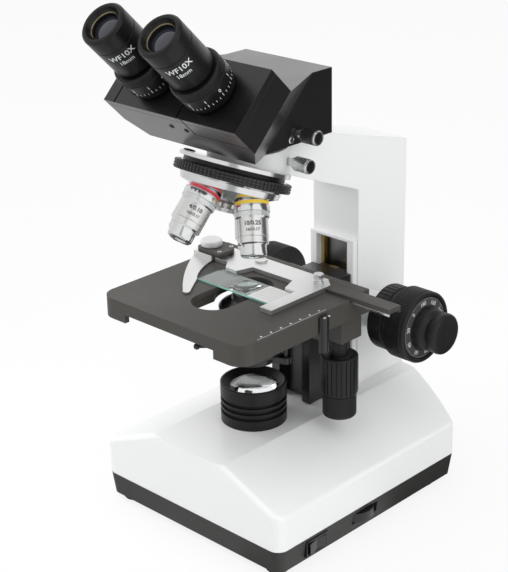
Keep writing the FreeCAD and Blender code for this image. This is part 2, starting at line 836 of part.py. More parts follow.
objective("objective_40x", d.high_length, True, 0)
objective("objective_100x", d.oil_length, True, 1)
objective("objective_4x", d.low_length, False, 2)
objective("objective_10x", d.mid_length, False, 3)

# Head frame: s runs up the eyepiece face, n stands out of it towards the user.
lean = math.radians(float(d.eye_tilt))
UPHILL = V(0, math.cos(lean), math.sin(lean))
OUTWARD = V(0, -math.sin(lean), math.cos(lean))


def head_point(x, along, out):
    return V(float(x), 0, 0) + UPHILL * float(along) + OUTWARD * float(out)


def head_slab(half_low, low, half_high, high, start, end):
    """A wall-to-wall slab whose width changes with its height above the prism box."""
    corners = [head_point(-half_low, start, low), head_point(half_low, start, low),
               head_point(half_high, start, high), head_point(-half_high, start, high)]
    return prism(corners, UPHILL * (float(end) - float(start)))


plate_floor = d.face_level - d.eye_plate_thick


def head_housing():
    far = 420
    slab = head_slab(d.head_half, d.flare_level, d.head_half, plate_floor - d.gap, d.face_low, d.face_high)
    flare = head_slab(d.head_rear_half, d.box_level, d.head_half, d.flare_level, d.face_low, far)
    rear = box(-d.head_rear_half, -120, d.head_bottom, d.head_rear_half, d.head_back, d.head_top)
    rear = rear.common(head_slab(d.head_half, 0, d.head_half, d.box_level, 0, far))
    flare = flare.common(box(-200, -200, d.head_bottom, 200, d.head_back, d.head_top))
    shape = slab.fuse(flare).fuse(rear).removeSplitter()
    return shape


head_shape = head_housing()
light = rod(d.light_bore, V(0, 0, 290), V(0, 0, 322))
head_shape = head_shape.cut(light)
for side in (-1, 1):
    middle = (d.face_low + d.face_high) / 2
    start = head_point(side * float(d.eye_half), middle, d.flare_level - 14)
    end = head_point(side * float(d.eye_half), middle, d.face_level)
    channel = rod(d.eyetube_bore + 1, start, end)
    shifted = channel.copy()
    shifted.translate(V(side * 10, 0, 0))
    between = prism([head_point(side * float(d.eye_half), middle - d.eyetube_bore - 1, d.flare_level - 14),
                     head_point(side * (float(d.eye_half) + 10), middle - d.eyetube_bore - 1, d.flare_level - 14),
                     head_point(side * (float(d.eye_half) + 10), middle + d.eyetube_bore + 1, d.flare_level - 14),
                     head_point(side * float(d.eye_half), middle + d.eyetube_bore + 1, d.flare_level - 14)],
                    OUTWARD * (float(d.face_level - d.flare_level) + 14))
    head_shape = head_shape.cut(channel).cut(shifted).cut(between)
flange = rod(d.dovetail_radius + 4, vec(0, 0, d.arm_top + d.gap), vec(0, 0, d.head_bottom + 1))
flange = flange.fuse(rod(d.dovetail_radius, vec(0, 0, d.arm_top - d.dovetail_deep + d.gap), vec(0, 0, d.arm_top + 2)))
head_shape = head_shape.fuse(flange).cut(light)
head_screw_axis = vec(0, 8, 310)
head_screw_hole = rod(d.screw_shank + d.running, head_screw_axis + V(30, 0, 0), head_screw_axis + V(50, 0, 0))
seam_deep = 0.7
for start_x, start_n, end_x, end_n in ((12.7, 272, 13.5, 300), (12.7, 271.6, 66, 272.4)):
    seam = [head_point(start_x, d.face_low - 1, start_n), head_point(end_x, d.face_low - 1, start_n),
            head_point(end_x, d.face_low - 1, end_n), head_point(start_x, d.face_low - 1, end_n)]
    head_shape = head_shape.cut(prism(seam, UPHILL * (1 + seam_deep)))
solid("head_housing", head_shape.cut(head_screw_hole).removeSplitter())


def eye_plate(side):
    """One of the two sliding plates on the face, with its eyepiece tube."""
    if side > 0:
        inner = float(d.plate_split)
        outer = float(d.head_half)
    else:
        inner = -float(d.plate_left_end) - 10
        outer = float(d.plate_split) - float(d.gap)
    corners = [head_point(inner, d.face_low, plate_floor), head_point(outer, d.face_low, plate_floor),
               head_point(outer, d.face_high, plate_floor), head_point(inner, d.face_high, plate_floor)]
    shape = prism(corners, OUTWARD * float(d.eye_plate_thick))
    middle = (d.face_low + d.face_high) / 2
    centre = side * float(d.eye_half)
    start = head_point(centre, middle, d.face_level - 0.5)
    end = head_point(centre, middle, d.face_level + d.eyepiece_level - d.eyepiece_length)
    shape = shape.fuse(rod(d.eyetube_radius, start, end))
    through = rod(d.eyetube_bore, head_point(centre, middle, plate_floor - 1), end + OUTWARD)
    return shape.cut(through).removeSplitter()


solid("eyepiece_plate_right", eye_plate(1))
solid("eyepiece_plate_left", eye_plate(-1))

eye_middle = (d.face_low + d.face_high) / 2


def on_eye_axis(item, side, out):
    """Stands a turned piece on the eyepiece axis of one side."""
    spot = head_point(side * float(d.eye_half), eye_middle, out)
    item.Placement = FreeCAD.Placement(spot, FreeCAD.Rotation(ALONG_X, float(d.eye_tilt)))
    return item


for side, word in ((1, "right"), (-1, "left")):
    collar = turned("diopter_ring_" + word, [
        (d.eyetube_radius + d.running, d.collar_low), (d.collar_radius - 2, d.collar_low),
        (d.collar_radius, d.collar_low + 6), (d.collar_radius, d.collar_high - 2),
        (d.collar_radius - 1.5, d.collar_high), (d.eyetube_radius + d.running, d.collar_high)])
    on_eye_axis(collar, side, d.face_level)
    top = d.eyepiece_length
    neck = d.eyetube_bore - d.running
    eyepiece = turned("eyepiece_" + word, [
        (neck - 1.5, -d.eyepiece_neck_length), (neck, -d.eyepiece_neck_length),
        (neck, 0), (d.eyepiece_radius - 1, 0), (d.eyepiece_radius, 1),
        (d.eyepiece_radius, top - 14), (d.eyepiece_radius - 0.4, top - 13.6), (d.eyepiece_radius - 0.4, top - 13),
        (d.eyepiece_radius, top - 12.6), (d.eyepiece_radius, top - 1.5), (d.eyepiece_radius - 1.5, top),
        (d.eye_opening + 2.5, top), (d.eye_opening, top - d.eye_recess), (d.eye_opening, top - d.eye_recess - 4),
        (neck - 1.5, top - d.eye_recess - 8)])
    on_eye_axis(eyepiece, side, d.face_level + d.eyepiece_level - d.eyepiece_length)
    glass = lens(d.eye_opening - d.running, 2.2, 1.2, 0)
    glass.Placement = FreeCAD.Placement(
        head_point(side * float(d.eye_half), eye_middle, d.face_level + d.eyepiece_level - d.eye_recess - 3.8),
        FreeCAD.Rotation(ALONG_X, float(d.eye_tilt)))
    solid("eye_lens_" + word, glass)


def thumbscrew(label, start, reach, grip):
    """A lock screw along +X: a plain shank and a grip with a dished end."""
    body = turned(label, [
        (0, 0), (d.screw_shank, 0), (d.screw_shank, reach), (d.screw_grip - 0.6, reach),
        (d.screw_grip, reach + 0.6), (d.screw_grip, reach + grip - 0.8), (d.screw_grip - 0.8, reach + grip),
        (d.screw_grip - 1.6, reach + grip), (d.screw_grip - 2, reach + grip - 1), (0, reach + grip - 1)])
    body.Placement = FreeCAD.Placement(start, FreeCAD.Rotation(ALONG_Y, 90))
    return body


thumbscrew("arm_screw", vec(d.dovetail_radius + 1, 14, d.arm_screw_level), 12, d.screw_grip_length)
thumbscrew("head_screw", head_screw_axis + V(33, 0, 0), 14, d.screw_grip_length)


drive_x = d.drive_side
drive_y = d.drive_back
trough_low = d.stage_top - d.bar_sunk


def stage_top_plate():
    half = d.stage_half
    low = d.stage_top - d.skirt_high
    outer = box(-half, -d.stage_front, low, half, d.stage_back, d.stage_top)
    outer = round_edges(outer, d.stage_corner, lambda edge: upright(edge) and edge.Vertexes[0].Point.y < 0)
    wall = d.skirt_wall
    step = d.bar_front - 3
    under = box(-half + wall, -d.stage_front + wall, low - 1, half - wall, step, d.stage_top - d.stage_thick)
    behind = box(-half + wall, step - 1, low - 1, half - wall, d.stage_back + 1, trough_low - d.trough_floor)
    shape = outer.cut(under).cut(behind)
    shape = shape.cut(rod(d.x_shaft_radius + d.gap, vec(drive_x, drive_y, low), vec(drive_x, drive_y, d.stage_top)))
    notch = box(-d.notch_half, -d.stage_front - 1, low - 1, d.notch_half, -d.stage_front + wall + 1, d.stage_top - d.notch_high)
    shape = shape.cut(notch)
    front = -float(d.slot_front) + float(d.slot_half)
    back = float(d.slot_back) - float(d.slot_half)
    above = d.stage_top + 1
    below = d.stage_top - d.stage_thick - 1
    shape = shape.cut(rod(d.slot_half, vec(0, front, below), vec(0, front, above)))
    shape = shape.cut(rod(d.slot_half, vec(0, back, below), vec(0, back, above)))
    shape = shape.cut(box(-d.slot_half, front, below, d.slot_half, back, above))
    trough = box(-half - 1, d.bar_front - d.gap, trough_low, half + 1, d.stage_back + 1, above)
    return shape.cut(trough)


solid("stage_top_plate", stage_top_plate())
bar_low = trough_low + d.gap
made("x_guide_rail", block(-d.stage_half, d.bar_back + d.gap, trough_low, d.stage_half, d.stage_back, d.bar_top))

# The drive housing hangs under the stage and is open where the fixed rack passes through it.
y_pitch = d.pinion_radius
rack_low = d.lower_top - 6.7
rack_high = d.lower_top - 1
housing = block(drive_x - 11, drive_y - 11, d.drive_low, d.stage_half - d.skirt_wall, drive_y + 11,
                trough_low - d.trough_floor)
housing = housing.cut(block(drive_x - 12, drive_y - 12, rack_low - 1, drive_x + y_pitch + 1.2, drive_y + 12, d.stage_top))
made("drive_housing", housing.cut(dowel(d.tube_radius + d.running, drive_x, drive_y, d.drive_low - 1, 40)))


# Two thumbscrews hold the slide holder down on the bar.
screw_spots = ((39, 32), (-22, 34))


def screw_room(shape):
    for x, y in screw_spots:
        shape = shape.cut(rod(d.holder_screw + d.running, vec(x, y, d.bar_top - 3.5), vec(x, y, d.bar_top + 20)))
    return shape


def cross_bar():
    """The bar over its trough, channelled underneath, with rack teeth along the front of the channel."""
    bar = box(-d.bar_left, d.bar_front, bar_low, d.bar_right, d.bar_back, d.bar_top)
    channel_top = bar_low + d.channel_high
    bar = bar.cut(box(-d.bar_left - 1, d.bar_front - 1, bar_low - 1, d.bar_right + 1, d.bar_back - 1.2, channel_top))
    pitch_line = drive_y - d.x_pinion
    teeth = rack_face(d.x_pinion, X_TEETH, -float(d.bar_left + drive_x), float(d.bar_right - drive_x),
                      float(pitch_line - d.bar_front))
    bar = bar.fuse(swept(teeth, d.channel_high, vec(drive_x, pitch_line, bar_low), ALONG_X, ALONG_Y))
    groove = box(-d.bar_left - 1, d.bar_front - 1, channel_top - 0.6, d.bar_right + 1, d.bar_front + 0.35, channel_top)
    return screw_room(bar.cut(groove).removeSplitter())


solid("x_bar", cross_bar())

plate_top = d.bar_top + d.holder_thick
slide_low = d.stage_top + 0.1
slide_back = d.slide_centre + d.slide_width / 2
slide_front = d.slide_centre - d.slide_width / 2
slide_half = d.slide_length / 2
made("specimen_slide", block(-slide_half, slide_front, slide_low, slide_half, slide_back, slide_low + d.slide_thick))


def slide_holder():
    """A flat plate screwed on the bar, with two stops behind the slide and an arm round its right end."""
    low = d.bar_top
    stop = slide_back + d.gap
    inner = slide_half + d.gap
    right = inner + d.holder_arm
    outline = [
        vec(-55.5, 16.5, low), vec(-41.5, 16.5, low), vec(-34, stop, low), vec(-22.5, stop, low), vec(-18.5, 21, low),
        vec(22.5, 21, low), vec(28, stop, low), vec(inner, stop, low), vec(inner, -d.holder_reach, low),
        vec(right, -d.holder_reach, low), vec(right, d.bar_back - 8, low), vec(right - 9, d.bar_back, low),
        vec(-55.5, d.bar_back, low),
    ]
    shape = prism(outline, vec(0, 0, d.holder_thick))
    skirt = [V(p.x, min(p.y, float(d.bar_front - d.gap)), p.z) for p in outline[:11]]
    lip = prism(skirt + [vec(-55.5, d.bar_front - d.gap, low)], vec(0, 0, -(low - d.stage_top - d.gap)))
    shape = shape.fuse(lip)
    tail = box(-d.pivot_side, 18, low, -55, d.bar_back, plate_top)
    tail = tail.fuse(rod(8, pivot + vec(0, 0, low), pivot + vec(0, 0, plate_top)))
    return screw_room(shape.fuse(tail).removeSplitter())


pivot = vec(-d.pivot_side, d.pivot_back, 0)
solid("slide_holder", slide_holder())

screws = []
for x, y in screw_spots:
    base = vec(x, y, plate_top)
    head = rod(4.5, base, base + V(0, 0, 5)).fuse(rod(d.holder_screw, base - V(0, 0, 4.5), base))
    screws.append(head.cut(box(x - 5, y - 0.5, plate_top + 4, x + 5, y + 0.5, plate_top + 6)))
solid("holder_screws", Part.makeCompound(screws))

# The finger's pin turns in a block that stands on the plate on two posts.
finger_low = plate_top + 0.2
block_low = finger_low + d.finger_thick + d.gap
block_top = block_low + d.finger_block


def finger_block():
    corners = [V(-76, 15, 0), V(-48.2, 15, 0), V(-48.2, 30.5, 0), V(-54.5, 37.5, 0), V(-76, 37.5, 0)]
    slab = prism([corner + vec(0, 0, block_low) for corner in corners], vec(0, 0, d.finger_block))
    slab = round_edges(slab, 6, lambda edge: upright(edge) and edge.Vertexes[0].Point.x < -75)
    for x, y in ((-52.3, 19.5), (-53.2, 33)):
        slab = slab.fuse(rod(2, vec(x, y, plate_top), vec(x, y, block_low + 1)))
    hole = rod(d.pivot_pin + d.running, pivot + vec(0, 0, block_low - 1), pivot + vec(0, 0, block_top + 1))
    return slab.cut(hole).removeSplitter()


solid("finger_block", finger_block())


def slide_finger():
    """A flat spring finger, cranked down in front of the block, that presses the slide's corner."""
    rest = d.stage_top + d.gap
    thick = float(d.finger_thick)
    outer = Part.Arc(vec(-77, 15, rest), vec(-57, -13.5, rest), vec(-28.5, -43.5, rest))
    tip = Part.Arc(vec(-28.5, -43.5, rest), vec(-25, -44.6, rest), vec(-23.5, -41, rest))
    inner = Part.Arc(vec(-23.5, -41, rest), vec(-31.2, -29.8, rest), vec(-38.4, -18.9, rest))
    notch = Part.LineSegment(vec(-38.4, -18.9, rest), vec(-39.6, -18.4, rest))
    flank = Part.Arc(vec(-39.6, -18.4, rest), vec(-49.5, -4, rest), vec(-56.5, 15, rest))
    close = Part.LineSegment(vec(-56.5, 15, rest), vec(-77, 15, rest))
    arm = Part.Face(Part.Wire([part.toShape() for part in (outer, tip, inner, notch, flank, close)]))
    arm = arm.extrude(V(0, 0, thick))
    crank = box(-76, 15 - thick, rest, -56.5, 16.5, finger_low + thick)
    tongue = box(-76, 15, finger_low, -56.5, d.pivot_back, finger_low + thick)
    eye = rod(8.5, pivot + vec(0, 0, finger_low), pivot + vec(0, 0, finger_low + thick))
    pin = rod(d.pivot_pin, pivot + vec(0, 0, finger_low), pivot + vec(0, 0, block_top + d.cap_high - 1))
    shape = arm.fuse(crank).fuse(tongue).fuse(eye).fuse(pin)
    return shape.removeSplitter()


solid("slide_finger", slide_finger())
cap = turned("finger_cap", [
    (d.pivot_pin, 0), (d.cap_radius, 0), (d.cap_radius, d.cap_high - 0.8), (d.cap_radius - 0.8, d.cap_high),
    (0, d.cap_high), (0, d.cap_high - 1), (d.pivot_pin, d.cap_high - 1)])
place(cap, -d.pivot_side, d.pivot_back, block_top + 0.1)

# Coaxial stage drive: the upper knob on a tube, the lower knob on a shaft inside it.
def y_knob():
    """The outer knob and tube, with the pinion that walks along the rack of the lower plate."""
    top = d.y_knob_top
    bore = d.x_shaft_radius + d.running
    grip = turn_section([
        (bore, d.y_knob_low), (d.y_knob_radius - 1, d.y_knob_low), (d.y_knob_radius, d.y_knob_low + 1),
        (d.y_knob_radius, top - 0.6), (d.y_knob_radius - 0.6, top), (d.y_knob_radius - 2, top),
        (d.tube_radius + 1.5, top - 6), (d.tube_radius, top - 6), (d.tube_radius, rack_low), (bore, rack_low)])
    pinion = swept(pinion_face(y_pitch, TEETH), rack_high - rack_low, vec(0, 0, rack_low), ALONG_Y, -ALONG_X)
    pinion = pinion.cut(rod(bore, vec(0, 0, rack_low - 1), vec(0, 0, rack_high + 1)))
    return grip.fuse(pinion)


def x_knob():
    """The inner knob and its shaft, with the pinion that drives the cross bar."""
    top = d.y_knob_low - d.gap
    pinion_low = trough_low + d.gap
    grip = turn_section([
        (0, d.x_knob_low), (d.x_knob_radius - 2, d.x_knob_low), (d.x_knob_radius, d.x_knob_low + 2),
        (d.x_knob_radius, top - 1), (d.x_knob_radius - 1, top), (d.x_shaft_radius, top),
        (d.x_shaft_radius, pinion_low), (0, pinion_low)])
    high = d.channel_high - d.gap
    return grip.fuse(swept(pinion_face(d.x_pinion, X_TEETH), high, vec(0, 0, pinion_low), ALONG_X, ALONG_Y))


place(solid("y_knob", y_knob()), drive_x, drive_y, 0)
place(solid("x_knob", x_knob()), drive_x, drive_y, 0)

# Carriage on the column, and the fixed lower plate that it carries.
carriage_top = d.lower_top - d.lower_thick
carriage_back = d.column_front - d.frame_proud - d.gap
rack_pitch = d.focus_back - d.pinion_radius
rack_seat = d.column_front - 4
hanger_pitch = d.carriage_front + d.channel_deep - d.gap - 0.5
axle_y = hanger_pitch + d.condenser_pinion
axle_z = d.hanger_low + 3
axle_radius = 3.0
pinion_half = 4.0


def stage_carriage():
    half = d.carriage_half
    block = box(-half, d.carriage_front, d.carriage_bottom, half, carriage_back, carriage_top)
    tongue_half = d.window_half - d.guide_wide - d.gap
    tongue = box(-tongue_half, carriage_back - 1, d.carriage_bottom + 2, tongue_half, d.column_front - 1, carriage_top)
    channel = box(-d.channel_half, d.carriage_front - 1, d.carriage_bottom - 1,
                  d.channel_half, d.carriage_front + d.channel_deep, carriage_top - 6)
    seat = box(-d.rack_half, rack_seat, d.carriage_bottom, d.rack_half, d.column_front, carriage_top + 1)
    hole = rod(axle_radius + float(d.running), vec(-half - 1, axle_y, axle_z), vec(0, axle_y, axle_z))
    room = pinion_half + float(d.gap)
    pocket = rod(d.condenser_pinion + 0.9, vec(-room, axle_y, axle_z), vec(room, axle_y, axle_z))
    return block.fuse(tongue).cut(channel).cut(seat).cut(hole).cut(pocket).removeSplitter()


solid("stage_carriage", stage_carriage())
focus_teeth = rack_face(d.pinion_radius, TEETH, float(d.carriage_bottom + 2 - d.focus_height),
                        float(carriage_top - d.focus_height), float(rack_pitch - rack_seat))
solid("focus_rack", swept(focus_teeth, 2 * d.rack_half, vec(d.rack_half, rack_pitch, d.focus_height), UP, ALONG_Y))


def lower_plate():
    low = d.lower_top - d.lower_thick
    half = d.stage_half - d.skirt_wall - 2
    front_edge = -d.stage_front + d.skirt_wall + d.y_travel_back + 2
    shape = box(-half, front_edge, low, half, d.carriage_front + 6, d.lower_top)
    shape = shape.cut(rod(d.condenser_radius + 3, vec(0, 0, low - 1), vec(0, 0, d.lower_top + 1)))
    drive = box(drive_x - 13, drive_y - 20, low - 1, drive_x + 40, drive_y + 60, d.lower_top + 1)
    front = box(-d.slot_half - 4, front_edge - 1, low - 1, d.slot_half + 4, 0, d.lower_top + 1)
    shape = shape.cut(drive).cut(front)
    pitch_line = drive_x - y_pitch
    start = drive_y - 9
    end = drive_y + d.y_travel_back + 4
    teeth = rack_face(y_pitch, TEETH, float(drive_y - end), float(drive_y - start), 6.5)
    rack = swept(teeth, rack_high - rack_low, vec(pitch_line, drive_y, rack_low), -ALONG_Y, ALONG_X)
    return shape.fuse(rack).removeSplitter()


solid("stage_lower_plate", lower_plate())


def scale_pointer():
    """A half-round post beside the stage edge, carried on a bracket under the skirt."""
    face = d.stage_half + d.gap
    skirt_low = d.stage_top - d.skirt_high
    centre = -d.post_centre
    post = rod(d.post_radius, vec(face, centre, d.stage_top - 2 - d.post_high), vec(face, centre, d.stage_top - 2))
    post = post.common(box(face, -50, 0, face + 20, 50, 300))
    foot_low = skirt_low - d.gap - 4
    inner = d.stage_half - d.skirt_wall - 9
    arm = box(inner, centre - 4, foot_low, face + 2, centre + 4, skirt_low - d.gap)
    heel = box(inner, centre - 4, foot_low, inner + 6, centre + 4, carriage_top)
    return post.fuse(arm).fuse(heel).removeSplitter()


solid("scale_pointer", scale_pointer())

# Condenser: a turned body on a hanger that slides in the front of the carriage.
def condenser_body():
    lens_bore = float(d.condenser_lens + d.running)
    section = [
        V(lens_bore - 2, 0, d.condenser_low), V(lens_bore - 2, 0, d.condenser_top - 7), V(lens_bore, 0, d.condenser_top - 7),
        V(lens_bore, 0, d.condenser_top), V(lens_bore + 2, 0, d.condenser_top), V(lens_bore + 3, 0, d.condenser_top - 5),
        V(d.condenser_radius - 2, 0, d.condenser_top - 9), V(d.condenser_radius, 0, d.condenser_top - 11),
        V(d.condenser_radius, 0, d.condenser_low + 1), V(d.condenser_radius - 1, 0, d.condenser_low),
        V(d.iris_neck, 0, d.condenser_low), V(d.iris_neck, 0, d.iris_low - 1), V(lens_bore + 4, 0, d.iris_low - 1),
        V(lens_bore + 4, 0, d.condenser_low),
    ]
    section = [vec(p.x, 0, p.z) for p in section]
    wire = Part.makePolygon(section + [section[0]])
    shape = Part.Face(wire).revolve(V(0, 0, 0), UP, 360)
    hanger_top = d.hanger_low + d.hanger_high
    hanger_back = hanger_pitch - 2
    hanger = box(-d.channel_half + d.gap, 15, d.hanger_low, d.channel_half - d.gap, hanger_back, hanger_top)
    hanger = hanger.cut(rod(d.condenser_radius - 1, vec(0, 0, 100), vec(0, 0, 200)))
    teeth = rack_face(d.condenser_pinion, TEETH, float(d.hanger_low - axle_z), float(hanger_top - axle_z), 2.5)
    rack = swept(teeth, 2 * pinion_half, vec(pinion_half, hanger_pitch, axle_z), UP, ALONG_Y)
    hanger = hanger.fuse(rack)
    pin = rod(d.filter_pin, vec(d.filter_side, d.filter_back, d.filter_low),
              vec(d.filter_side, d.filter_back, d.condenser_low + 5))
    lug = rod(d.filter_pin + 2.5, vec(d.filter_side, d.filter_back, d.condenser_low + 0.5),
              vec(d.filter_side, d.filter_back, d.condenser_low + 6))
    return shape.fuse(hanger).fuse(lug).fuse(pin).removeSplitter()


solid("condenser_body", condenser_body())
glass = lens(d.condenser_lens, 2.5, 3, float(d.condenser_top) - 6.9)
solid("condenser_lens", glass.common(box(-20, -20, 0, 20, 20, d.condenser_top)))

iris = rod(d.condenser_radius - 0.5, vec(0, 0, d.iris_low), vec(0, 0, d.iris_low + d.iris_high))
lever = rod(1.5, vec(0, 0, d.iris_low + d.iris_high / 2), vec(-30, -30, d.iris_low + d.iris_high / 2))
knob = Part.makeSphere(2.6, vec(-30, -30, d.iris_low + d.iris_high / 2))
iris = iris.fuse(lever).fuse(knob)
solid("iris_lever", iris.cut(rod(d.iris_neck + d.running, vec(0, 0, 100), vec(0, 0, 180))).removeSplitter())

filter_top = d.filter_low + d.filter_high
ring = rod(d.filter_radius, vec(0, 0, d.filter_low), vec(0, 0, filter_top))
ear = rod(d.filter_pin + 2.5, vec(d.filter_side, d.filter_back, d.filter_low), vec(d.filter_side, d.filter_back, filter_top))
reach = V(float(d.filter_side), float(d.filter_back), 0)
across = V(-reach.y, reach.x, 0).normalize() * 4
low = V(0, 0, float(d.filter_low))
web = prism([low + across, low - across, low + reach - across, low + reach + across], V(0, 0, float(d.filter_high)))
ring = ring.fuse(web).fuse(ear)
ring = ring.cut(rod(d.filter_radius - 2.5, vec(0, 0, 100), vec(0, 0, 160)))
pin_hole = rod(d.filter_pin + d.running, low + reach - V(0, 0, 1), low + reach + V(0, 0, 20))
solid("filter_ring", ring.cut(pin_hole).removeSplitter())


def condenser_knob():
    """A knob whose shaft runs through the carriage's wall to the pinion behind the hanger."""
    reach = 6 - d.carriage_half + pinion_half
    knob = turn_section([
        (0, reach), (axle_radius, reach), (axle_radius, 8.5), (d.condenser_knob - 1, 8.5), (d.condenser_knob, 9.5),
        (d.condenser_knob, 20), (d.condenser_knob - 1, 21), (0, 21)])
    face = pinion_face(d.condenser_pinion, TEETH)
    return knob.fuse(swept(face, 2 * pinion_half, vec(0, 0, 6 - d.carriage_half - pinion_half), ALONG_X, ALONG_Y))


knob = solid("condenser_knob", condenser_knob())
knob.Placement = FreeCAD.Placement(vec(-d.carriage_half + 6, axle_y, axle_z), FreeCAD.Rotation(ALONG_Y, -90))

# Coaxial focus drive: a coarse tube with its two knobs, and the fine spindle inside it.


def on_focus_axis(item, start, turn=90):
    item.Placement = FreeCAD.Placement(vec(start, d.focus_back, d.focus_height), FreeCAD.Rotation(ALONG_Y, turn))
    return item


fine_bore = d.fine_shaft + d.running
tube_end = d.coarse_outer - 6


def coarse_shaft():
    """The tube that joins the coarse knobs, with the pinion that lifts the stage."""
    tube = rod(d.coarse_shaft, vec(0, 0, -tube_end), vec(0, 0, tube_end))
    pinion = swept(pinion_face(d.pinion_radius, TEETH), 14, V(0, 0, -7), ALONG_X, ALONG_Y)
    return tube.fuse(pinion).cut(rod(fine_bore, vec(0, 0, -tube_end - 1), vec(0, 0, tube_end + 1)))


on_focus_axis(solid("coarse_shaft", coarse_shaft()), 0)
on_focus_axis(turned("fine_shaft", [
    (0, -d.fine_end + 2), (d.fine_shaft, -d.fine_end + 2), (d.fine_shaft, d.fine_end - 2), (0, d.fine_end - 2)]), 0)

coarse_length = d.coarse_outer - d.coarse_inner
knob_face = coarse_length - 6
for word, sign in (("right", 1), ("left", -1)):
    coarse = turned("coarse_knob_" + word, [
        (d.coarse_shaft, 0), (d.coarse_radius - 1, 0), (d.coarse_radius, 1), (d.coarse_radius, coarse_length - 1.5),
        (d.coarse_radius - 1.5, coarse_length), (d.dial_radius + 1.2, coarse_length), (d.dial_radius + d.gap, coarse_length - 1),
        (d.dial_radius + d.gap, knob_face), (d.coarse_shaft, knob_face)])
    on_focus_axis(coarse, sign * d.coarse_inner.value, sign * 90)
    hub = d.coarse_inner + knob_face + d.gap
    out = d.fine_end - hub
    fine = turned("fine_knob_" + word, [
        (d.fine_shaft, 0), (d.dial_radius, 0), (d.dial_radius, 4.5), (d.fine_hub, 7), (d.fine_hub - 1, out - 13),
        (d.fine_neck, out - 11), (d.fine_neck, out - 9), (d.fine_radius - 1, out - 8), (d.fine_radius, out - 7),
        (d.fine_radius, out - 1.5), (d.fine_radius - 1.5, out), (0, out), (0, out - 1.9), (d.fine_shaft, out - 1.9)])
    on_focus_axis(fine, sign * hub.value, sign * 90)

tension = turned("tension_collar", [
    (d.boss_radius + d.running, 0), (d.tension_radius - 1, 0), (d.tension_radius, 1),
    (d.tension_radius, d.coarse_inner - d.tension_inner - 2), (d.tension_radius - 1, d.coarse_inner - d.tension_inner - 1),
    (d.boss_radius + d.running, d.coarse_inner - d.tension_inner - 1)])
on_focus_axis(tension, d.tension_inner.value)

doc.recompute()

failed = [item.Name for item in doc.Objects if "Invalid" in item.State or "Error" in item.State]
for label, item in NODES.items():
    if item.Shape.isNull() or not item.Shape.isValid() or item.Shape.Volume <= 0:
        failed.append(label)
if failed:
    raise RuntimeError("objects that failed: " + ", ".join(sorted(set(failed))))

os.makedirs("parts", exist_ok=True)
for label, item in NODES.items():
    item.Shape.exportStep("parts/" + label + ".step")
print(len(NODES), "sub-parts written")
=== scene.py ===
"""The looks of a binocular compound microscope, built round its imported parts."""

import math

import bmesh
import bpy
from mathutils import Matrix, Vector


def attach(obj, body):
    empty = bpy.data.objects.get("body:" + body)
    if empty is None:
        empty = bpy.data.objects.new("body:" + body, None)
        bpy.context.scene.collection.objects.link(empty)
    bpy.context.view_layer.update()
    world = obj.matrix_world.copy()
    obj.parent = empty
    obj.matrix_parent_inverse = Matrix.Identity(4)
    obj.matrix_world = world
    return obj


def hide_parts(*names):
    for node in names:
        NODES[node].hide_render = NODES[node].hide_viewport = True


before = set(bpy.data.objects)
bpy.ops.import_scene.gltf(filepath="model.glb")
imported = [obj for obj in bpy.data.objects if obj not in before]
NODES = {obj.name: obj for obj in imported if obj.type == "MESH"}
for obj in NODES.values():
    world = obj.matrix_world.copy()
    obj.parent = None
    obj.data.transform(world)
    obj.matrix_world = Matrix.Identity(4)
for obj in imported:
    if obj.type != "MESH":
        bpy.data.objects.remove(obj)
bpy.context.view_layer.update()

MM = 0.001

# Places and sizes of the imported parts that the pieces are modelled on, in mm
EYE_HALF = 27.5
EYEPIECE_RADIUS, EYEPIECE_START, EYEPIECE_LENGTH = 17.0, 26.7, 40.0
DIOPTER_RADIUS = 20.0
# The head's slanted face: where it starts and how long it runs up the slant, and how far out it stands
FACE_LOW, FACE_LENGTH, FACE_LEVEL = 181.0, 50.5, 291.3
FACE_MIDDLE = FACE_LOW + FACE_LENGTH / 2
PLATE_SPLIT, PLATE_LEFT_END = 8.0, -55.0
HEAD_BOX_HALF = 42.5
# Where the turret's axis crosses the optical axis
TURRET_APEX = (0, 0, 317.3)
FOCUS_Y, FOCUS_Z = 104.0, 141.0
TENSION_START, COARSE_START, FINE_START = 47.0, 64.0, 79.3
DRIVE_X, DRIVE_Y = 58.0, 34.0
STAGE_TOP, SLIDE_TOP = 185.5, 186.8
HOLDER_FOOT, HOLDER_TOP = 184.7, 189.2
FINGER_PIVOT = (-68.0, 25.5, 0)
CARRIAGE_SIDE = 20.0

# Camera: above the front right corner of the base, looking down at the stage
AZIMUTH = math.radians(44.46)
PITCH = math.radians(22.49)
ROLL = math.radians(-1.22)
CAMERA_SPOT = Vector((0.7317, -0.7427, 0.6167))
FOCAL_PIXELS = 1507.4
IMAGE_HEIGHT = 572
SENSOR = 36.0


def make_camera():
    level = Vector((math.cos(AZIMUTH), math.sin(AZIMUTH), 0))
    ahead = math.cos(PITCH)
    forward = Vector((-math.sin(AZIMUTH) * ahead, math.cos(AZIMUTH) * ahead, -math.sin(PITCH)))
    upward = level.cross(forward)
    right = level * math.cos(ROLL) + upward * math.sin(ROLL)
    top = upward * math.cos(ROLL) - level * math.sin(ROLL)
    data = bpy.data.cameras.new("Camera")
    data.sensor_width = SENSOR
    data.lens = FOCAL_PIXELS * SENSOR / IMAGE_HEIGHT
    data.clip_start = 0.01
    data.clip_end = 50
    camera = bpy.data.objects.new("Camera", data)
    bpy.context.scene.collection.objects.link(camera)
    turn = Matrix((right, top, -forward)).transposed().to_4x4()
    camera.matrix_world = Matrix.Translation(CAMERA_SPOT) @ turn
    bpy.context.scene.camera = camera


# Light: a white room, a large soft lamp above, one at the user's right and a small card near the column

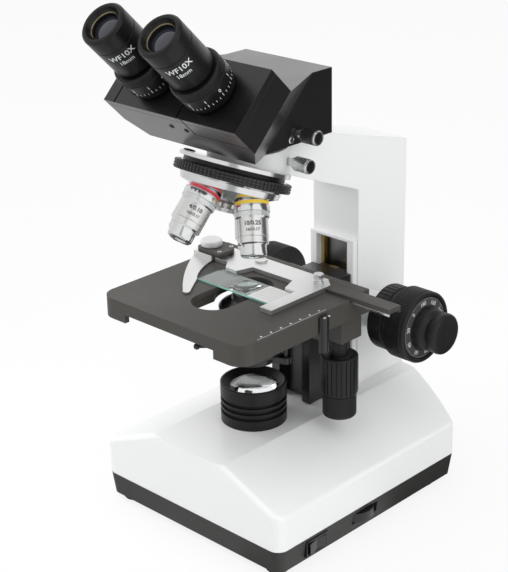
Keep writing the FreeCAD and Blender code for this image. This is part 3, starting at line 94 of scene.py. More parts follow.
ROOM_LIGHT = 0.76
ROOM_COLOUR = (0.97, 0.98, 1.0, 1)
WHITE = (1, 1, 1, 1)
PAPER_GLOW = 0.85
PAPER_COLOUR = (0.84, 0.84, 0.84, 1)
# Strength of the floor's glow to gloss rays, a painted reflection of the flags.
FLOOR_PAINTED_REFLECTION = 0.95
# name, place, what it points at, size and power
LAMPS = (
    ("Key", (-0.4, -0.7, 1.7), (0, 0, 0.15), (2.0, 2.0), 14),
    ("Side", (1.4, -0.1, 0.9), (0, 0, 0.15), (1.2, 1.4), 8),
    ("Column", (-0.30, -0.10, 0.32), (0, 0.1, 0.22), (0.2, 0.2), 0.5),
)
# What only gloss sees round the set, flags and cards: place round the horizon and grey level
FLAGS = ((0.0, 0.72), (0.12, 0.75), (0.24, 0.85), (0.33, 0.85), (0.345, 0.45), (0.38, 0.45), (0.40, 1.0),
         (0.57, 1.0), (0.605, 0.10), (0.69, 0.10), (0.73, 0.8), (0.80, 1.0), (0.89, 1.0), (0.92, 0.8))


def make_world():
    world = bpy.data.worlds.new("Studio")
    world.use_nodes = True
    bpy.context.scene.world = world
    nodes = world.node_tree.nodes
    links = world.node_tree.links
    nodes.clear()
    output = nodes.new("ShaderNodeOutputWorld")
    room = nodes.new("ShaderNodeBackground")
    room.inputs["Color"].default_value = ROOM_COLOUR
    room.inputs["Strength"].default_value = ROOM_LIGHT
    backdrop = nodes.new("ShaderNodeBackground")
    backdrop.inputs["Color"].default_value = WHITE
    backdrop.inputs["Strength"].default_value = 1.0
    mirrored = nodes.new("ShaderNodeBackground")
    mirrored.inputs["Strength"].default_value = 1.0
    place = nodes.new("ShaderNodeTexCoord")
    flags = use_group(world.node_tree, STUDIO_FLAGS)
    links.new(place.outputs["Generated"], flags.inputs["Place"])
    links.new(flags.outputs["Color"], mirrored.inputs["Color"])
    path = nodes.new("ShaderNodeLightPath")
    seen = math_node(world.node_tree, "MAXIMUM")
    shine = nodes.new("ShaderNodeMixShader")
    mix = nodes.new("ShaderNodeMixShader")
    links.new(path.outputs["Is Camera Ray"], seen.inputs[0])
    links.new(path.outputs["Is Transmission Ray"], seen.inputs[1])
    links.new(path.outputs["Is Glossy Ray"], shine.inputs[0])
    links.new(room.outputs[0], shine.inputs[1])
    links.new(mirrored.outputs[0], shine.inputs[2])
    links.new(seen.outputs[0], mix.inputs[0])
    links.new(shine.outputs[0], mix.inputs[1])
    links.new(backdrop.outputs[0], mix.inputs[2])
    links.new(mix.outputs[0], output.inputs["Surface"])


def area_lamp(name, spot, target, size, power):
    data = bpy.data.lights.new(name, "AREA")
    data.shape = "RECTANGLE"
    data.size = size[0]
    data.size_y = size[1]
    data.energy = power
    lamp = bpy.data.objects.new(name, data)
    bpy.context.scene.collection.objects.link(lamp)
    lamp.location = spot
    lamp.rotation_euler = (Vector(target) - Vector(spot)).to_track_quat("-Z", "Y").to_euler()
    lamp.visible_glossy = False


# Shared shader groups


def new_group(name, inputs, **outputs):
    """An empty shader group: inputs as label and default value, outputs as label and kind of socket."""
    group = bpy.data.node_groups.new(name, "ShaderNodeTree")
    for label, value in inputs.items():
        kind = "NodeSocketFloat" if isinstance(value, float) else "NodeSocketVector"
        socket = group.interface.new_socket(label, in_out="INPUT", socket_type=kind)
        socket.default_value = value
    for label, kind in outputs.items():
        group.interface.new_socket(label, in_out="OUTPUT", socket_type="NodeSocket" + kind)
    return group, group.nodes.new("NodeGroupInput"), group.nodes.new("NodeGroupOutput")


def math_node(tree, operation):
    node = tree.nodes.new("ShaderNodeMath")
    node.operation = operation
    return node


def object_noise(group, scale_from, detail=3.0, roughness=0.55):
    place = group.nodes.new("ShaderNodeTexCoord")
    noise = group.nodes.new("ShaderNodeTexNoise")
    noise.inputs["Detail"].default_value = detail
    noise.inputs["Roughness"].default_value = roughness
    group.links.new(place.outputs["Object"], noise.inputs["Vector"])
    group.links.new(scale_from, noise.inputs["Scale"])
    return noise


def make_grain_group():
    """A fine moulded or sprayed skin: a bumped normal on softened edges."""
    group, inward, outward = new_group(
        "surface_grain", {"Scale": 900.0, "Height": 0.1, "Edge": 0.0006}, Normal="Vector")
    noise = object_noise(group, inward.outputs["Scale"])
    edge = group.nodes.new("ShaderNodeBevel")
    edge.samples = 4
    bump = group.nodes.new("ShaderNodeBump")
    bump.inputs["Distance"].default_value = 0.0004
    group.links.new(inward.outputs["Edge"], edge.inputs["Radius"])
    group.links.new(edge.outputs["Normal"], bump.inputs["Normal"])
    group.links.new(inward.outputs["Height"], bump.inputs["Strength"])
    group.links.new(noise.outputs["Fac"], bump.inputs["Height"])
    group.links.new(bump.outputs["Normal"], outward.inputs["Normal"])
    return group


def make_handling_group():
    """Where hands and dust have dulled or shined a surface: a slow mask between two values."""
    group, inward, outward = new_group(
        "handling", {"Scale": 14.0, "Low": 0.3, "High": 0.5}, Value="Float", Mask="Float")
    noise = object_noise(group, inward.outputs["Scale"], detail=5.0, roughness=0.6)
    spread = group.nodes.new("ShaderNodeMapRange")
    spread.inputs["From Min"].default_value = 0.3
    spread.inputs["From Max"].default_value = 0.7
    group.links.new(noise.outputs["Fac"], spread.inputs["Value"])
    group.links.new(inward.outputs["Low"], spread.inputs["To Min"])
    group.links.new(inward.outputs["High"], spread.inputs["To Max"])
    group.links.new(spread.outputs["Result"], outward.inputs["Value"])
    group.links.new(noise.outputs["Fac"], outward.inputs["Mask"])
    return group


def make_worn_edge_group():
    """Picks out sharp edges, where paint or plating thins; on the ring grip's teeth they are a painted
    highlight.
    """
    group, inward, outward = new_group("worn_and_highlit_edge", {"Width": 0.0008, "Amount": 1.0}, Mask="Float")
    edge = group.nodes.new("ShaderNodeBevel")
    edge.samples = 4
    shape = group.nodes.new("ShaderNodeNewGeometry")
    turn = group.nodes.new("ShaderNodeVectorMath")
    turn.operation = "DOT_PRODUCT"
    spread = group.nodes.new("ShaderNodeMapRange")
    spread.inputs["From Min"].default_value = 0.995
    spread.inputs["From Max"].default_value = 0.86
    strength = math_node(group, "MULTIPLY")
    group.links.new(inward.outputs["Width"], edge.inputs["Radius"])
    group.links.new(edge.outputs["Normal"], turn.inputs[0])
    group.links.new(shape.outputs["Normal"], turn.inputs[1])
    group.links.new(turn.outputs["Value"], spread.inputs["Value"])
    group.links.new(spread.outputs["Result"], strength.inputs[0])
    group.links.new(inward.outputs["Amount"], strength.inputs[1])
    group.links.new(strength.outputs[0], outward.inputs["Mask"])
    return group


def make_flags_group():
    """What gloss sees round the set: a grey level for each direction round the horizon."""
    group, inward, outward = new_group("studio_flags", {"Place": (0, 0, 0)}, Color="Color")
    parts = group.nodes.new("ShaderNodeSeparateXYZ")
    round_angle = math_node(group, "ARCTAN2")
    turn = group.nodes.new("ShaderNodeMapRange")
    turn.inputs["From Min"].default_value = -math.pi
    turn.inputs["From Max"].default_value = math.pi
    flags = group.nodes.new("ShaderNodeValToRGB")
    stops = flags.color_ramp.elements
    for number, (spot, grey) in enumerate(FLAGS):
        stop = stops[number] if number < 2 else stops.new(spot)
        stop.position = spot
        stop.color = (grey, grey, grey, 1)
    group.links.new(inward.outputs["Place"], parts.inputs[0])
    group.links.new(parts.outputs["Y"], round_angle.inputs[0])
    group.links.new(parts.outputs["X"], round_angle.inputs[1])
    group.links.new(round_angle.outputs[0], turn.inputs["Value"])
    group.links.new(turn.outputs["Result"], flags.inputs["Fac"])
    group.links.new(flags.outputs["Color"], outward.inputs["Color"])
    return group


GRAIN = make_grain_group()
STUDIO_FLAGS = make_flags_group()
HANDLING = make_handling_group()
WORN_AND_HIGHLIT_EDGE = make_worn_edge_group()


def use_group(tree, group, **values):
    node = tree.nodes.new("ShaderNodeGroup")
    node.node_tree = group
    for label, value in values.items():
        node.inputs[label].default_value = value
    return node


def blank_material(name, **sockets):
    material = bpy.data.materials.new(name)
    material.use_nodes = True
    shader = material.node_tree.nodes["Principled BSDF"]
    for label, value in sockets.items():
        shader.inputs[label.replace("_", " ")].default_value = value
    return material, material.node_tree, shader


def mix_colours(tree, mask, first, second):
    mix = tree.nodes.new("ShaderNodeMix")
    mix.data_type = "RGBA"
    mix.inputs["A"].default_value = (*first, 1)
    mix.inputs["B"].default_value = (*second, 1)
    tree.links.new(mask, mix.inputs["Factor"])
    return mix.outputs["Result"]


def coated(name, colour, tint, rough, grain, height, edge=0.0006, worn_and_highlit=None, **sockets):
    """A painted, moulded or plated finish: colour that drifts to a tint, a grain, and lighter edges for
    wear, on the ring grip for a painted highlight.
    """
    material, tree, shader = blank_material(name, **sockets)
    skin = use_group(tree, GRAIN, Scale=grain, Height=height, Edge=edge)
    touch = use_group(tree, HANDLING, Scale=18.0, Low=rough[0], High=rough[1])
    body = mix_colours(tree, touch.outputs["Mask"], colour, tint)
    if worn_and_highlit:
        rim = use_group(tree, WORN_AND_HIGHLIT_EDGE, Width=worn_and_highlit[0], Amount=worn_and_highlit[1])
        mix = tree.nodes.new("ShaderNodeMix")
        mix.data_type = "RGBA"
        mix.inputs["B"].default_value = (*worn_and_highlit[2], 1)
        tree.links.new(rim.outputs["Mask"], mix.inputs["Factor"])
        tree.links.new(body, mix.inputs["A"])
        body = mix.outputs["Result"]
    tree.links.new(body, shader.inputs["Base Color"])
    tree.links.new(touch.outputs["Value"], shader.inputs["Roughness"])
    tree.links.new(skin.outputs["Normal"], shader.inputs["Normal"])
    return material


def band_paint(name, colour, tint):
    return coated(name, colour, tint, (0.25, 0.35), 900.0, 0.05, edge=0.0003)


def printing_ink(name, colour, tint):
    return coated(name, colour, tint, (0.5, 0.6), 2600.0, 0.1, edge=0.0001)


# Each finish: its colour and the tint it drifts to, roughness, scale and height of its grain, softened
# edge (m), and for paint that wears (on the ring grip a painted highlight) the width, share and colour of
# its edges
WHITE_ENAMEL = coated("white_enamel", (0.86, 0.86, 0.85), (0.84, 0.845, 0.84), (0.30, 0.36), 1500.0, 0.03,
                      edge=0.0009, Coat_Weight=0.15, Coat_Roughness=0.25)
BLACK_ENAMEL = coated("black_enamel", (0.005, 0.005, 0.005), (0.008, 0.007, 0.007), (0.26, 0.34), 1400.0,
                      0.08, edge=0.0007, worn_and_highlit=(0.0006, 0.25, (0.08, 0.08, 0.08)), Specular_IOR_Level=0.3,
                      Coat_Weight=0.7, Coat_Roughness=0.28)
LAMP_BLACK = coated("lamp_black", (0.006, 0.006, 0.006), (0.009, 0.009, 0.009), (0.34, 0.44), 1600.0,
                    0.10, edge=0.0005, worn_and_highlit=(0.0005, 0.3, (0.07, 0.07, 0.07)), Specular_IOR_Level=0.3)
STAGE_BLACK = coated("stage_black", (0.050, 0.046, 0.040), (0.064, 0.059, 0.052), (0.42, 0.54), 2200.0,
                     0.12, edge=0.0008, worn_and_highlit=(0.0006, 0.3, (0.16, 0.155, 0.15)), Specular_IOR_Level=0.4)
KNOB_BLACK = coated("knob_black", (0.011, 0.011, 0.011), (0.015, 0.015, 0.015), (0.38, 0.5), 1800.0, 0.14,
                    edge=0.0004, worn_and_highlit=(0.0004, 0.3, (0.06, 0.06, 0.06)), Specular_IOR_Level=0.3)
BARREL_BLACK = coated("barrel_black", (0.006, 0.006, 0.006), (0.009, 0.009, 0.009), (0.28, 0.38), 2000.0,
                      0.10, edge=0.0004, Specular_IOR_Level=0.3)
TRAY_BLACK = coated("tray_black", (0.024, 0.023, 0.022), (0.031, 0.030, 0.028), (0.5, 0.62), 1500.0, 0.2,
                    edge=0.0008)
SWITCH_BLACK = coated("switch_black", (0.010, 0.010, 0.011), (0.014, 0.014, 0.014), (0.2, 0.3), 1600.0,
                      0.05, edge=0.0004)
RUBBER = coated("foot_rubber", (0.012, 0.012, 0.012), (0.02, 0.02, 0.019), (0.7, 0.85), 1200.0, 0.3,
                edge=0.0005)
CHROME = coated("chrome_plate", (0.82, 0.82, 0.82), (0.77, 0.78, 0.79), (0.08, 0.14), 60.0, 0.01,
                edge=0.0004, Metallic=1.0)
SATIN_CHROME = coated("satin_chrome", (0.84, 0.84, 0.83), (0.79, 0.79, 0.78), (0.22, 0.32), 1500.0, 0.05,
                      edge=0.0004, Metallic=1.0)
STEEL = coated("sheet_steel", (0.86, 0.86, 0.85), (0.80, 0.80, 0.80), (0.3, 0.42), 1300.0, 0.08,
               edge=0.0003, Metallic=1.0)
CAP_METAL = coated("cap_metal", (0.80, 0.81, 0.80), (0.74, 0.75, 0.74), (0.45, 0.6), 1800.0, 0.12,
                   edge=0.0005, Metallic=0.6)
GUIDE_STEEL = coated("guide_steel", (0.30, 0.30, 0.31), (0.24, 0.24, 0.25), (0.25, 0.4), 900.0, 0.1,
                     edge=0.0003, Metallic=1.0)
BRASS = coated("drawn_brass", (0.68, 0.52, 0.20), (0.60, 0.45, 0.17), (0.2, 0.3), 900.0, 0.05,
               edge=0.0003, Metallic=1.0)
AGED_BRASS = coated("aged_brass", (0.26, 0.22, 0.13), (0.20, 0.17, 0.10), (0.3, 0.4), 900.0, 0.05,
                    edge=0.0003, Metallic=1.0)
BOARD = coated("lamp_board_green", (0.02, 0.11, 0.05), (0.03, 0.13, 0.06), (0.35, 0.5), 600.0, 0.08)
RED_BAND = band_paint("red_band", (0.62, 0.03, 0.05), (0.55, 0.03, 0.05))
YELLOW_BAND = band_paint("yellow_band", (0.85, 0.58, 0.03), (0.78, 0.52, 0.03))
BLUE_BAND = band_paint("blue_band", (0.05, 0.22, 0.60), (0.04, 0.19, 0.55))
WHITE_BAND = band_paint("white_band", (0.82, 0.82, 0.80), (0.78, 0.78, 0.76))
WHITE_INK = printing_ink("white_ink", (0.72, 0.74, 0.74), (0.62, 0.64, 0.64))
# Black ink for the printing, and for the painted shade in the screw heads' recesses.
BLACK_INK_AND_SHADE = printing_ink("black_ink_and_shade", (0.02, 0.02, 0.02), (0.04, 0.04, 0.04))
LABEL_PAPER = coated("label_paper", (0.82, 0.82, 0.80), (0.78, 0.78, 0.76), (0.7, 0.8), 1800.0, 0.15,
                     edge=0.0001)
SLIDE_EDGE = coated("slide_edge", (0.22, 0.55, 0.45), (0.28, 0.62, 0.52), (0.1, 0.2), 400.0, 0.05,
                    edge=0.0002, Coat_Weight=0.5)
SPECIMEN = coated("stained_specimen", (0.32, 0.56, 0.46), (0.42, 0.64, 0.54), (0.4, 0.6), 500.0, 0.1,
                  edge=0.0002)


def clear_glass(name, tint, rough=0.02, bend=1.5):
    material, tree, shader = blank_material(name, Metallic=0.0, Transmission_Weight=1.0, IOR=bend)
    shader.inputs["Base Color"].default_value = (*tint, 1)
    touch = use_group(tree, HANDLING, Scale=30.0, Low=rough, High=rough + 0.04)
    tree.links.new(touch.outputs["Value"], shader.inputs["Roughness"])
    return material


SLIDE_GLASS = clear_glass("slide_glass", (0.88, 0.97, 0.94), bend=1.75)
LENS_GLASS = clear_glass("lens_glass", (0.93, 0.95, 0.96))
BULB_GLASS = clear_glass("bulb_glass", (0.98, 0.98, 0.95))
# Painted shade: these opaque lenses are near black for the dark inside of the tubes behind the glass; their
# clear coat's reflection is the lens's own.
COATED_LENS_SHADE = coated("coated_lens_shade", (0.010, 0.012, 0.020), (0.016, 0.016, 0.030), (0.04, 0.08), 40.0,
                   0.01, edge=0.0002, Coat_Weight=1.0)
LABEL_GREY = coated("label_grey", (0.5, 0.52, 0.52), (0.6, 0.62, 0.62), (0.7, 0.8), 1800.0, 0.1,
                    edge=0.0001)
FROST = coated("frosted_disc", (0.42, 0.42, 0.40), (0.50, 0.50, 0.48), (0.35, 0.5), 1500.0, 0.1,
               edge=0.0002)
DIAL_FACE = coated("dial_face", (0.045, 0.045, 0.044), (0.058, 0.057, 0.055), (0.45, 0.55), 1800.0, 0.1,
                   edge=0.0003)
# The ring grip's lighter edges are a painted highlight on the ridges of its teeth.
RING_GRIP = coated("ring_grip", (0.020, 0.020, 0.019), (0.028, 0.028, 0.027), (0.3, 0.42), 1800.0, 0.1,
                   edge=0.0002, worn_and_highlit=(0.0003, 0.3, (0.2, 0.2, 0.19)))
# Painted shade: near black and almost unreflecting, standing for the shade in the gaps at the head's
# plates.
SEAM_SHADE = coated("seam_shade", (0.002, 0.002, 0.002), (0.003, 0.003, 0.003), (0.8, 0.9), 900.0, 0.02,
                    edge=0.0001, Specular_IOR_Level=0.05)

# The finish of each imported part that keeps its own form
FINISHES = {
    WHITE_ENAMEL: ["base_housing", "arm_casting"],
    TRAY_BLACK: ["base_tray", "mains_inlet"],
    SWITCH_BLACK: ["switch_bezel", "switch_rocker", "dimmer_wheel"],
    RUBBER: ["feet"],
    BOARD: ["lamp_board"],
    BULB_GLASS: ["lamp_bulb"],
    # The eye lenses' near black is painted shade for the dark tube behind them.
    COATED_LENS_SHADE: ["eye_lens_right", "eye_lens_left"],
    LENS_GLASS: ["condenser_lens"],
    SLIDE_GLASS: ["specimen_slide"],
    BLACK_ENAMEL: ["head_housing", "eyepiece_plate_right", "eyepiece_plate_left", "condenser_body",
                   "filter_ring", "iris_lever", "scale_pointer", "stage_carriage"],
    LAMP_BLACK: ["illuminator_housing"],
    STAGE_BLACK: ["stage_top_plate", "x_guide_rail", "drive_housing", "x_bar", "finger_block",
                  "stage_lower_plate"],
    KNOB_BLACK: ["condenser_knob"],
    CHROME: ["nosepiece_plate", "turret_body"],
    STEEL: ["nosepiece_spindle", "slide_holder", "slide_finger", "coarse_shaft", "fine_shaft"],
    BRASS: ["guide_strips", "focus_rack"],
}

# Ways that turned pieces stand: local Z runs out of the object, local X across it
SLANT = math.sqrt(0.5)
TURRET_TILT = math.radians(22)
UP = (0, 0, 1)


def basis(across, out):
    across = Vector(across).normalized()
    out = Vector(out).normalized()
    return Matrix((across, out.cross(across), out)).transposed()


UPRIGHT = basis((1, 0, 0), UP)
TO_RIGHT = basis((0, 1, 0), (1, 0, 0))
TO_LEFT = basis((0, -1, 0), (-1, 0, 0))
TO_EYE = basis((1, 0, 0), (0, -SLANT, SLANT))
DOWN_FRONT = basis((1, 0, 0), (0, -SLANT, -SLANT))
TURRET_AXIS = Vector((0, math.sin(TURRET_TILT), math.cos(TURRET_TILT)))
TO_TURRET = basis((1, 0, 0), TURRET_AXIS)


def head_spot(side, along, out):
    """A point of the head: along runs up its eyepiece face, out stands square to it."""
    return (side, (along - out) * SLANT, (along + out) * SLANT)


# Modelling helpers

INK_RAISED = 0.05


def start_clean():
    if bpy.context.object and bpy.context.object.mode != "OBJECT":
        bpy.ops.object.mode_set(mode="OBJECT")
    bpy.ops.object.select_all(action="DESELECT")


def only(piece):
    """Leaves this piece alone selected and active."""
    start_clean()
    piece.select_set(True)
    bpy.context.view_layer.objects.active = piece


def pick_faces(test):
    """Selects the faces of the piece being edited whose centre (mm) and normal pass the test."""
    bpy.ops.mesh.select_mode(type="FACE")
    bpy.ops.mesh.select_all(action="DESELECT")
    mesh = bpy.context.edit_object.data
    form = bmesh.from_edit_mesh(mesh)
    for face in form.faces:
        if test(face.calc_center_median() / MM, face.normal):
            face.select_set(True)
    bmesh.update_edit_mesh(mesh)


def turned(name, section, steps=96, closed=False):
    """A turned piece on its own Z: its section is (radius, height) in mm, ring by ring."""
    start_clean()
    radius, height = section[0]
    bpy.ops.mesh.primitive_circle_add(vertices=steps, radius=radius * MM, location=(0, 0, height * MM),
                                      fill_type="NOTHING" if closed else "NGON")
    piece = bpy.context.object
    piece.name = name
    bpy.ops.object.transform_apply(location=True, rotation=True, scale=True)
    bpy.ops.object.mode_set(mode="EDIT")
    bpy.ops.mesh.select_mode(type="EDGE" if closed else "FACE")
    bpy.ops.mesh.select_all(action="SELECT")
    for wide, high in list(section[1:]) + ([section[0]] if closed else []):
        bpy.ops.mesh.extrude_region_move(TRANSFORM_OT_translate={"value": (0, 0, (high - height) * MM)})
        bpy.ops.transform.resize(value=(wide / radius, wide / radius, 1), center_override=(0, 0, high * MM))
        radius, height = wide, high
    bpy.ops.mesh.select_all(action="SELECT")
    bpy.ops.mesh.remove_doubles(threshold=0.000004)
    bpy.ops.mesh.normals_make_consistent(inside=False)
    return piece


def sink_columns(low, high, columns, depth, rim, every=2):
    """Sinks one column in so many of a turned piece's wall between two heights, as ribs or knurling."""
    def chosen(centre, normal):
        column = math.floor((math.atan2(centre.y, centre.x) / (2 * math.pi) % 1) * columns)
        return low < centre.z < high and column % every == 0 and abs(normal.z) < 0.6
    pick_faces(chosen)
    bpy.ops.mesh.inset(thickness=rim * MM, depth=-depth * MM, use_individual=True)


def plate_blank(name, low, high):
    """A block from one corner to the other (mm), left in edit mode for shaping."""
    start_clean()
    middle = [(a + b) / 2 * MM for a, b in zip(low, high)]
    bpy.ops.mesh.primitive_cube_add(size=1, location=middle)
    piece = bpy.context.object
    piece.name = name
    piece.scale = [(b - a) * MM for a, b in zip(low, high)]
    bpy.ops.object.transform_apply(location=True, rotation=True, scale=True)
    bpy.ops.object.mode_set(mode="EDIT")
    return piece


def round_corners(piece, width, angle=30, segments=2):
    only(piece)
    soften = piece.modifiers.new("round", "BEVEL")
    soften.width = width * MM
    soften.segments = segments
    soften.limit_method = "ANGLE"
    soften.angle_limit = math.radians(angle)
    bpy.ops.object.modifier_apply(modifier="round")


def flat_strip(name, low, high, cuts=0):
    """A thin block from one corner to the other (mm), cut along its sides."""
    strip = plate_blank(name, low, high)
    if cuts:
        bpy.ops.mesh.subdivide(number_cuts=cuts)
    bpy.ops.object.mode_set(mode="OBJECT")
    return strip


def lettering(name, words, size, bold):
    """Flat words as a mesh: X along the words, Y up them, Z out of the surface."""
    start_clean()
    bpy.ops.object.text_add(location=(0, 0, 0))
    piece = bpy.context.object
    piece.name = name
    piece.data.body = words
    piece.data.size = size * MM
    piece.data.align_x = "CENTER"
    piece.data.align_y = "CENTER"
    piece.data.extrude = INK_RAISED * MM
    piece.data.offset = bold * MM
    piece.data.resolution_u = 3
    bpy.ops.object.convert(target="MESH")
    return bpy.context.object


def join(name, pieces):
    start_clean()
    for piece in pieces:
        piece.select_set(True)
    bpy.context.view_layer.objects.active = pieces[0]
    bpy.ops.object.join()
    pieces[0].name = name
    return pieces[0]


def settle(piece, turn, spot):
    """Puts a piece modelled round its own origin into its place, and applies that to its mesh."""
    only(piece)
    piece.matrix_world = Matrix.Translation(Vector(spot) * MM) @ turn.to_4x4()
    bpy.ops.object.transform_apply(location=True, rotation=True, scale=True)
    return piece


def spin(degrees):
    """A turn about a piece's own Z."""
    return Matrix.Rotation(math.radians(degrees), 3, "Z")


def wrap(piece, radius):
    """Bends flat words round a turned piece: their middle faces the piece's -Y, their Y becomes its Z."""
    for point in piece.data.vertices:
        turn = point.co.x / (radius * MM)
        out = radius * MM + point.co.z
        point.co = (out * math.sin(turn), -out * math.cos(turn), point.co.y)


def coat(piece, material, test=None):
    """Gives the piece, or those of its faces whose centre (mm) passes the test, a material."""
    only(piece)
    if not test:
        piece.data.materials.clear()
    piece.data.materials.append(material)
    if test:
        for face in piece.data.polygons:
            if test(face.center / MM):
                face.material_index = len(piece.data.materials) - 1


def print_round(line, radius, ink, facing, high):
    """Prints flat words on a turned piece, at a side in degrees and a height in mm."""
    wrap(line, radius)
    coat(line, ink)
    settle(line, spin(facing), (0, 0, high))


def hand_over(piece, body, slot, *nodes, smooth=32):
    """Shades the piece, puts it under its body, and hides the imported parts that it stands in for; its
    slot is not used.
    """
    only(piece)
    bpy.ops.object.shade_smooth_by_angle(angle=math.radians(smooth))
    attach(piece, body)
    if nodes:
        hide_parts(*nodes)


def finish_nodes():
    for material, names in FINISHES.items():
        for name in names:
            node = NODES[name]
            node.data.materials.clear()
            node.data.materials.append(material)


# Nosepiece ring: two rows of teeth with a groove between them


def make_turret_ring():
    top, low, rim, seat = -41.0, -48.0, 43.3, 39.0
    rows = (-41.8, -43.85, -45.9)
    row_height, teeth, tooth_depth = 1.3, 84, 0.8
    section = [(seat, top), (rim - 1.2, top), (rim - 0.3, top - 0.4)]
    for high in rows:
        section += [(rim, high), (rim, high - row_height), (rim - 0.9, high - 1.5), (rim - 0.9, high - 1.8)]
    section += [(rim - 0.4, low + 0.2), (rim - 1.2, low), (seat, low)]
    ring = turned("turret_ring_grip", section, steps=2 * teeth, closed=True)
    for high in rows:
        sink_columns(high - row_height, high, 2 * teeth, tooth_depth, 0.08)
    # The teeth's lighter edges are a painted highlight on their ridges.
    coat(ring, RING_GRIP)
    settle(ring, TO_TURRET, TURRET_APEX)
    hand_over(ring, "turret", "black_paint", "turret_ring")


# Objectives: thread, painted ring, knurled collar, engraved barrel and snout

# The seat's level under the turret's apex, along each objective's own axis, and the radii of its steps
SEAT = -63.5
THREAD, COLLAR, BARREL, SNOUT, FRONT = 10.1, 12.9, 11.25, 9.4, 4.0
# name: length, pointed snout, quarter of the turret, band, side that the engraving faces, its words
OBJECTIVES = {
    "objective_40x": (44.4, True, 0, BLUE_BAND, 45, "40/0.65"),
    "objective_100x": (44.8, True, 1, WHITE_BAND, -50, "100/1.25"),
    "objective_4x": (39.8, False, 2, RED_BAND, -135, "4/0.10"),
    "objective_10x": (39.2, False, 3, YELLOW_BAND, 130, "10/0.25"),
}


def make_objective(name, length, pointed, quarter, band, facing, words):
    end = SEAT - 30.5
    tip = SEAT - length
    knurl_top, knurl_low = SEAT - 8.0, SEAT - 11.4
    barrel_top, groove_top, groove_low = SEAT - 12.6, SEAT - 25.0, SEAT - 25.9
    section = [
        (THREAD, SEAT + 5), (THREAD, SEAT), (COLLAR - 0.8, SEAT), (COLLAR - 0.6, SEAT - 0.3),
        (COLLAR - 0.6, SEAT - 2.7), (COLLAR - 1.1, SEAT - 3.0), (COLLAR - 0.1, SEAT - 3.5),
        (COLLAR, SEAT - 3.8), (COLLAR, SEAT - 7.6), (COLLAR - 0.5, knurl_top), (COLLAR - 0.5, knurl_low),
        (COLLAR - 0.9, SEAT - 11.8), (BARREL, barrel_top), (BARREL, groove_top),
        (BARREL - 0.25, SEAT - 25.2), (BARREL - 0.25, SEAT - 25.7), (BARREL, groove_low),
        (BARREL, end + 0.4), (BARREL - 0.4, end), (SNOUT + 0.2, end - 0.6), (SNOUT, end - 0.9)]
    if pointed:
        section += [(SNOUT, tip + 7), (SNOUT - 0.6, tip + 6.4), (FRONT + 2.2, tip + 0.8),
                    (FRONT + 1.6, tip + 0.2), (FRONT + 1, tip), (FRONT, tip), (FRONT - 0.4, tip + 0.6)]
    else:
        section += [(SNOUT, tip + 1.4), (SNOUT - 0.4, tip + 0.5), (SNOUT - 1, tip), (FRONT + 1.5, tip),
                    (FRONT + 1.0, tip + 0.8), (FRONT, tip + 1.2)]
    piece = turned(name + "_dressed", section, steps=120)
    sink_columns(knurl_low, knurl_top, 120, 0.35, 0.05)
    coat(piece, CHROME)
    coat(piece, SATIN_CHROME, lambda at: groove_top < at.z < barrel_top or end < at.z < groove_low)
    coat(piece, band, lambda at: SEAT - 2.75 < at.z < SEAT - 0.3)
    # The front lens is painted shade: near black for the dark inside of the objective.
    coat(piece, COATED_LENS_SHADE, lambda at: at.z < tip + 1.25 and at.xy.length < FRONT + 0.2)
    big = lettering(name + "_words", words, 4.2, 0.12)
    small = lettering(name + "_tube", "160/0.17", 2.9, 0.06)
    print_round(big, BARREL, BLACK_INK_AND_SHADE, facing, SEAT - 16.8)
    print_round(small, BARREL, BLACK_INK_AND_SHADE, facing, SEAT - 21.4)
    piece = join(name + "_dressed", [piece, big, small])
    turn = Matrix.Rotation(math.radians(90 * quarter), 3, TURRET_AXIS)
    settle(piece, turn, TURRET_APEX)
    hand_over(piece, "turret", "chrome", name)


# Eyepieces and the focusing collars under them

# The side that their words and scales are on, in degrees from the user's side towards the right
EYE_FACING, SCALE_FACING = 48, 78
SCALE_MARKS, SCALE_STEP = 17, 9


def make_eyepiece(word, side):
    top, wide = EYEPIECE_LENGTH, EYEPIECE_RADIUS
    tube, bore, stop, foot = 11.7, 10.2, 3.0, -28.0
    shell = turned("eyepiece_shell_" + word, [
        (10.6, top - 7.5), (10.6, top - 4.1), (11.05, top - 3.8), (11.3, top - 3.5), (12.9, top - 1.1),
        (13.1, top - 0.4), (13.5, top), (15.4, top), (16.2, top - 0.8), (16.8, top - 1.4),
        (wide, top - 2.2), (wide, top - 12.7), (16.55, top - 13.0), (16.55, top - 13.5),
        (wide, top - 13.8), (wide, 1.2), (16.6, 0.4), (15.8, 0), (tube, 0), (tube, foot), (bore, foot),
        (bore, top - 12.0), (stop, top - 12.0), (stop, top - 11.6), (bore, top - 11.2)],
        steps=112, closed=True)
    coat(shell, BARREL_BLACK)
    coat(shell, SATIN_CHROME, lambda at: at.z < -0.05)
    coat(shell, AGED_BRASS, lambda at: top - 4.0 < at.z < top - 3.6 and at.xy.length < 11.4)
    big = lettering("power_words_" + word, "WF10X", 6.2, 0.10)
    small = lettering("field_words_" + word, "18mm", 4.6, 0.05)
    print_round(big, wide, WHITE_INK, EYE_FACING, 20.4)
    print_round(small, wide, WHITE_INK, EYE_FACING, 14.8)
    shell = join("eyepiece_shell_" + word, [shell, big, small])
    settle(shell, TO_EYE, head_spot(side * EYE_HALF, FACE_MIDDLE, FACE_LEVEL + EYEPIECE_START))
    hand_over(shell, "ocular_" + word, "black_paint", "eyepiece_" + word)


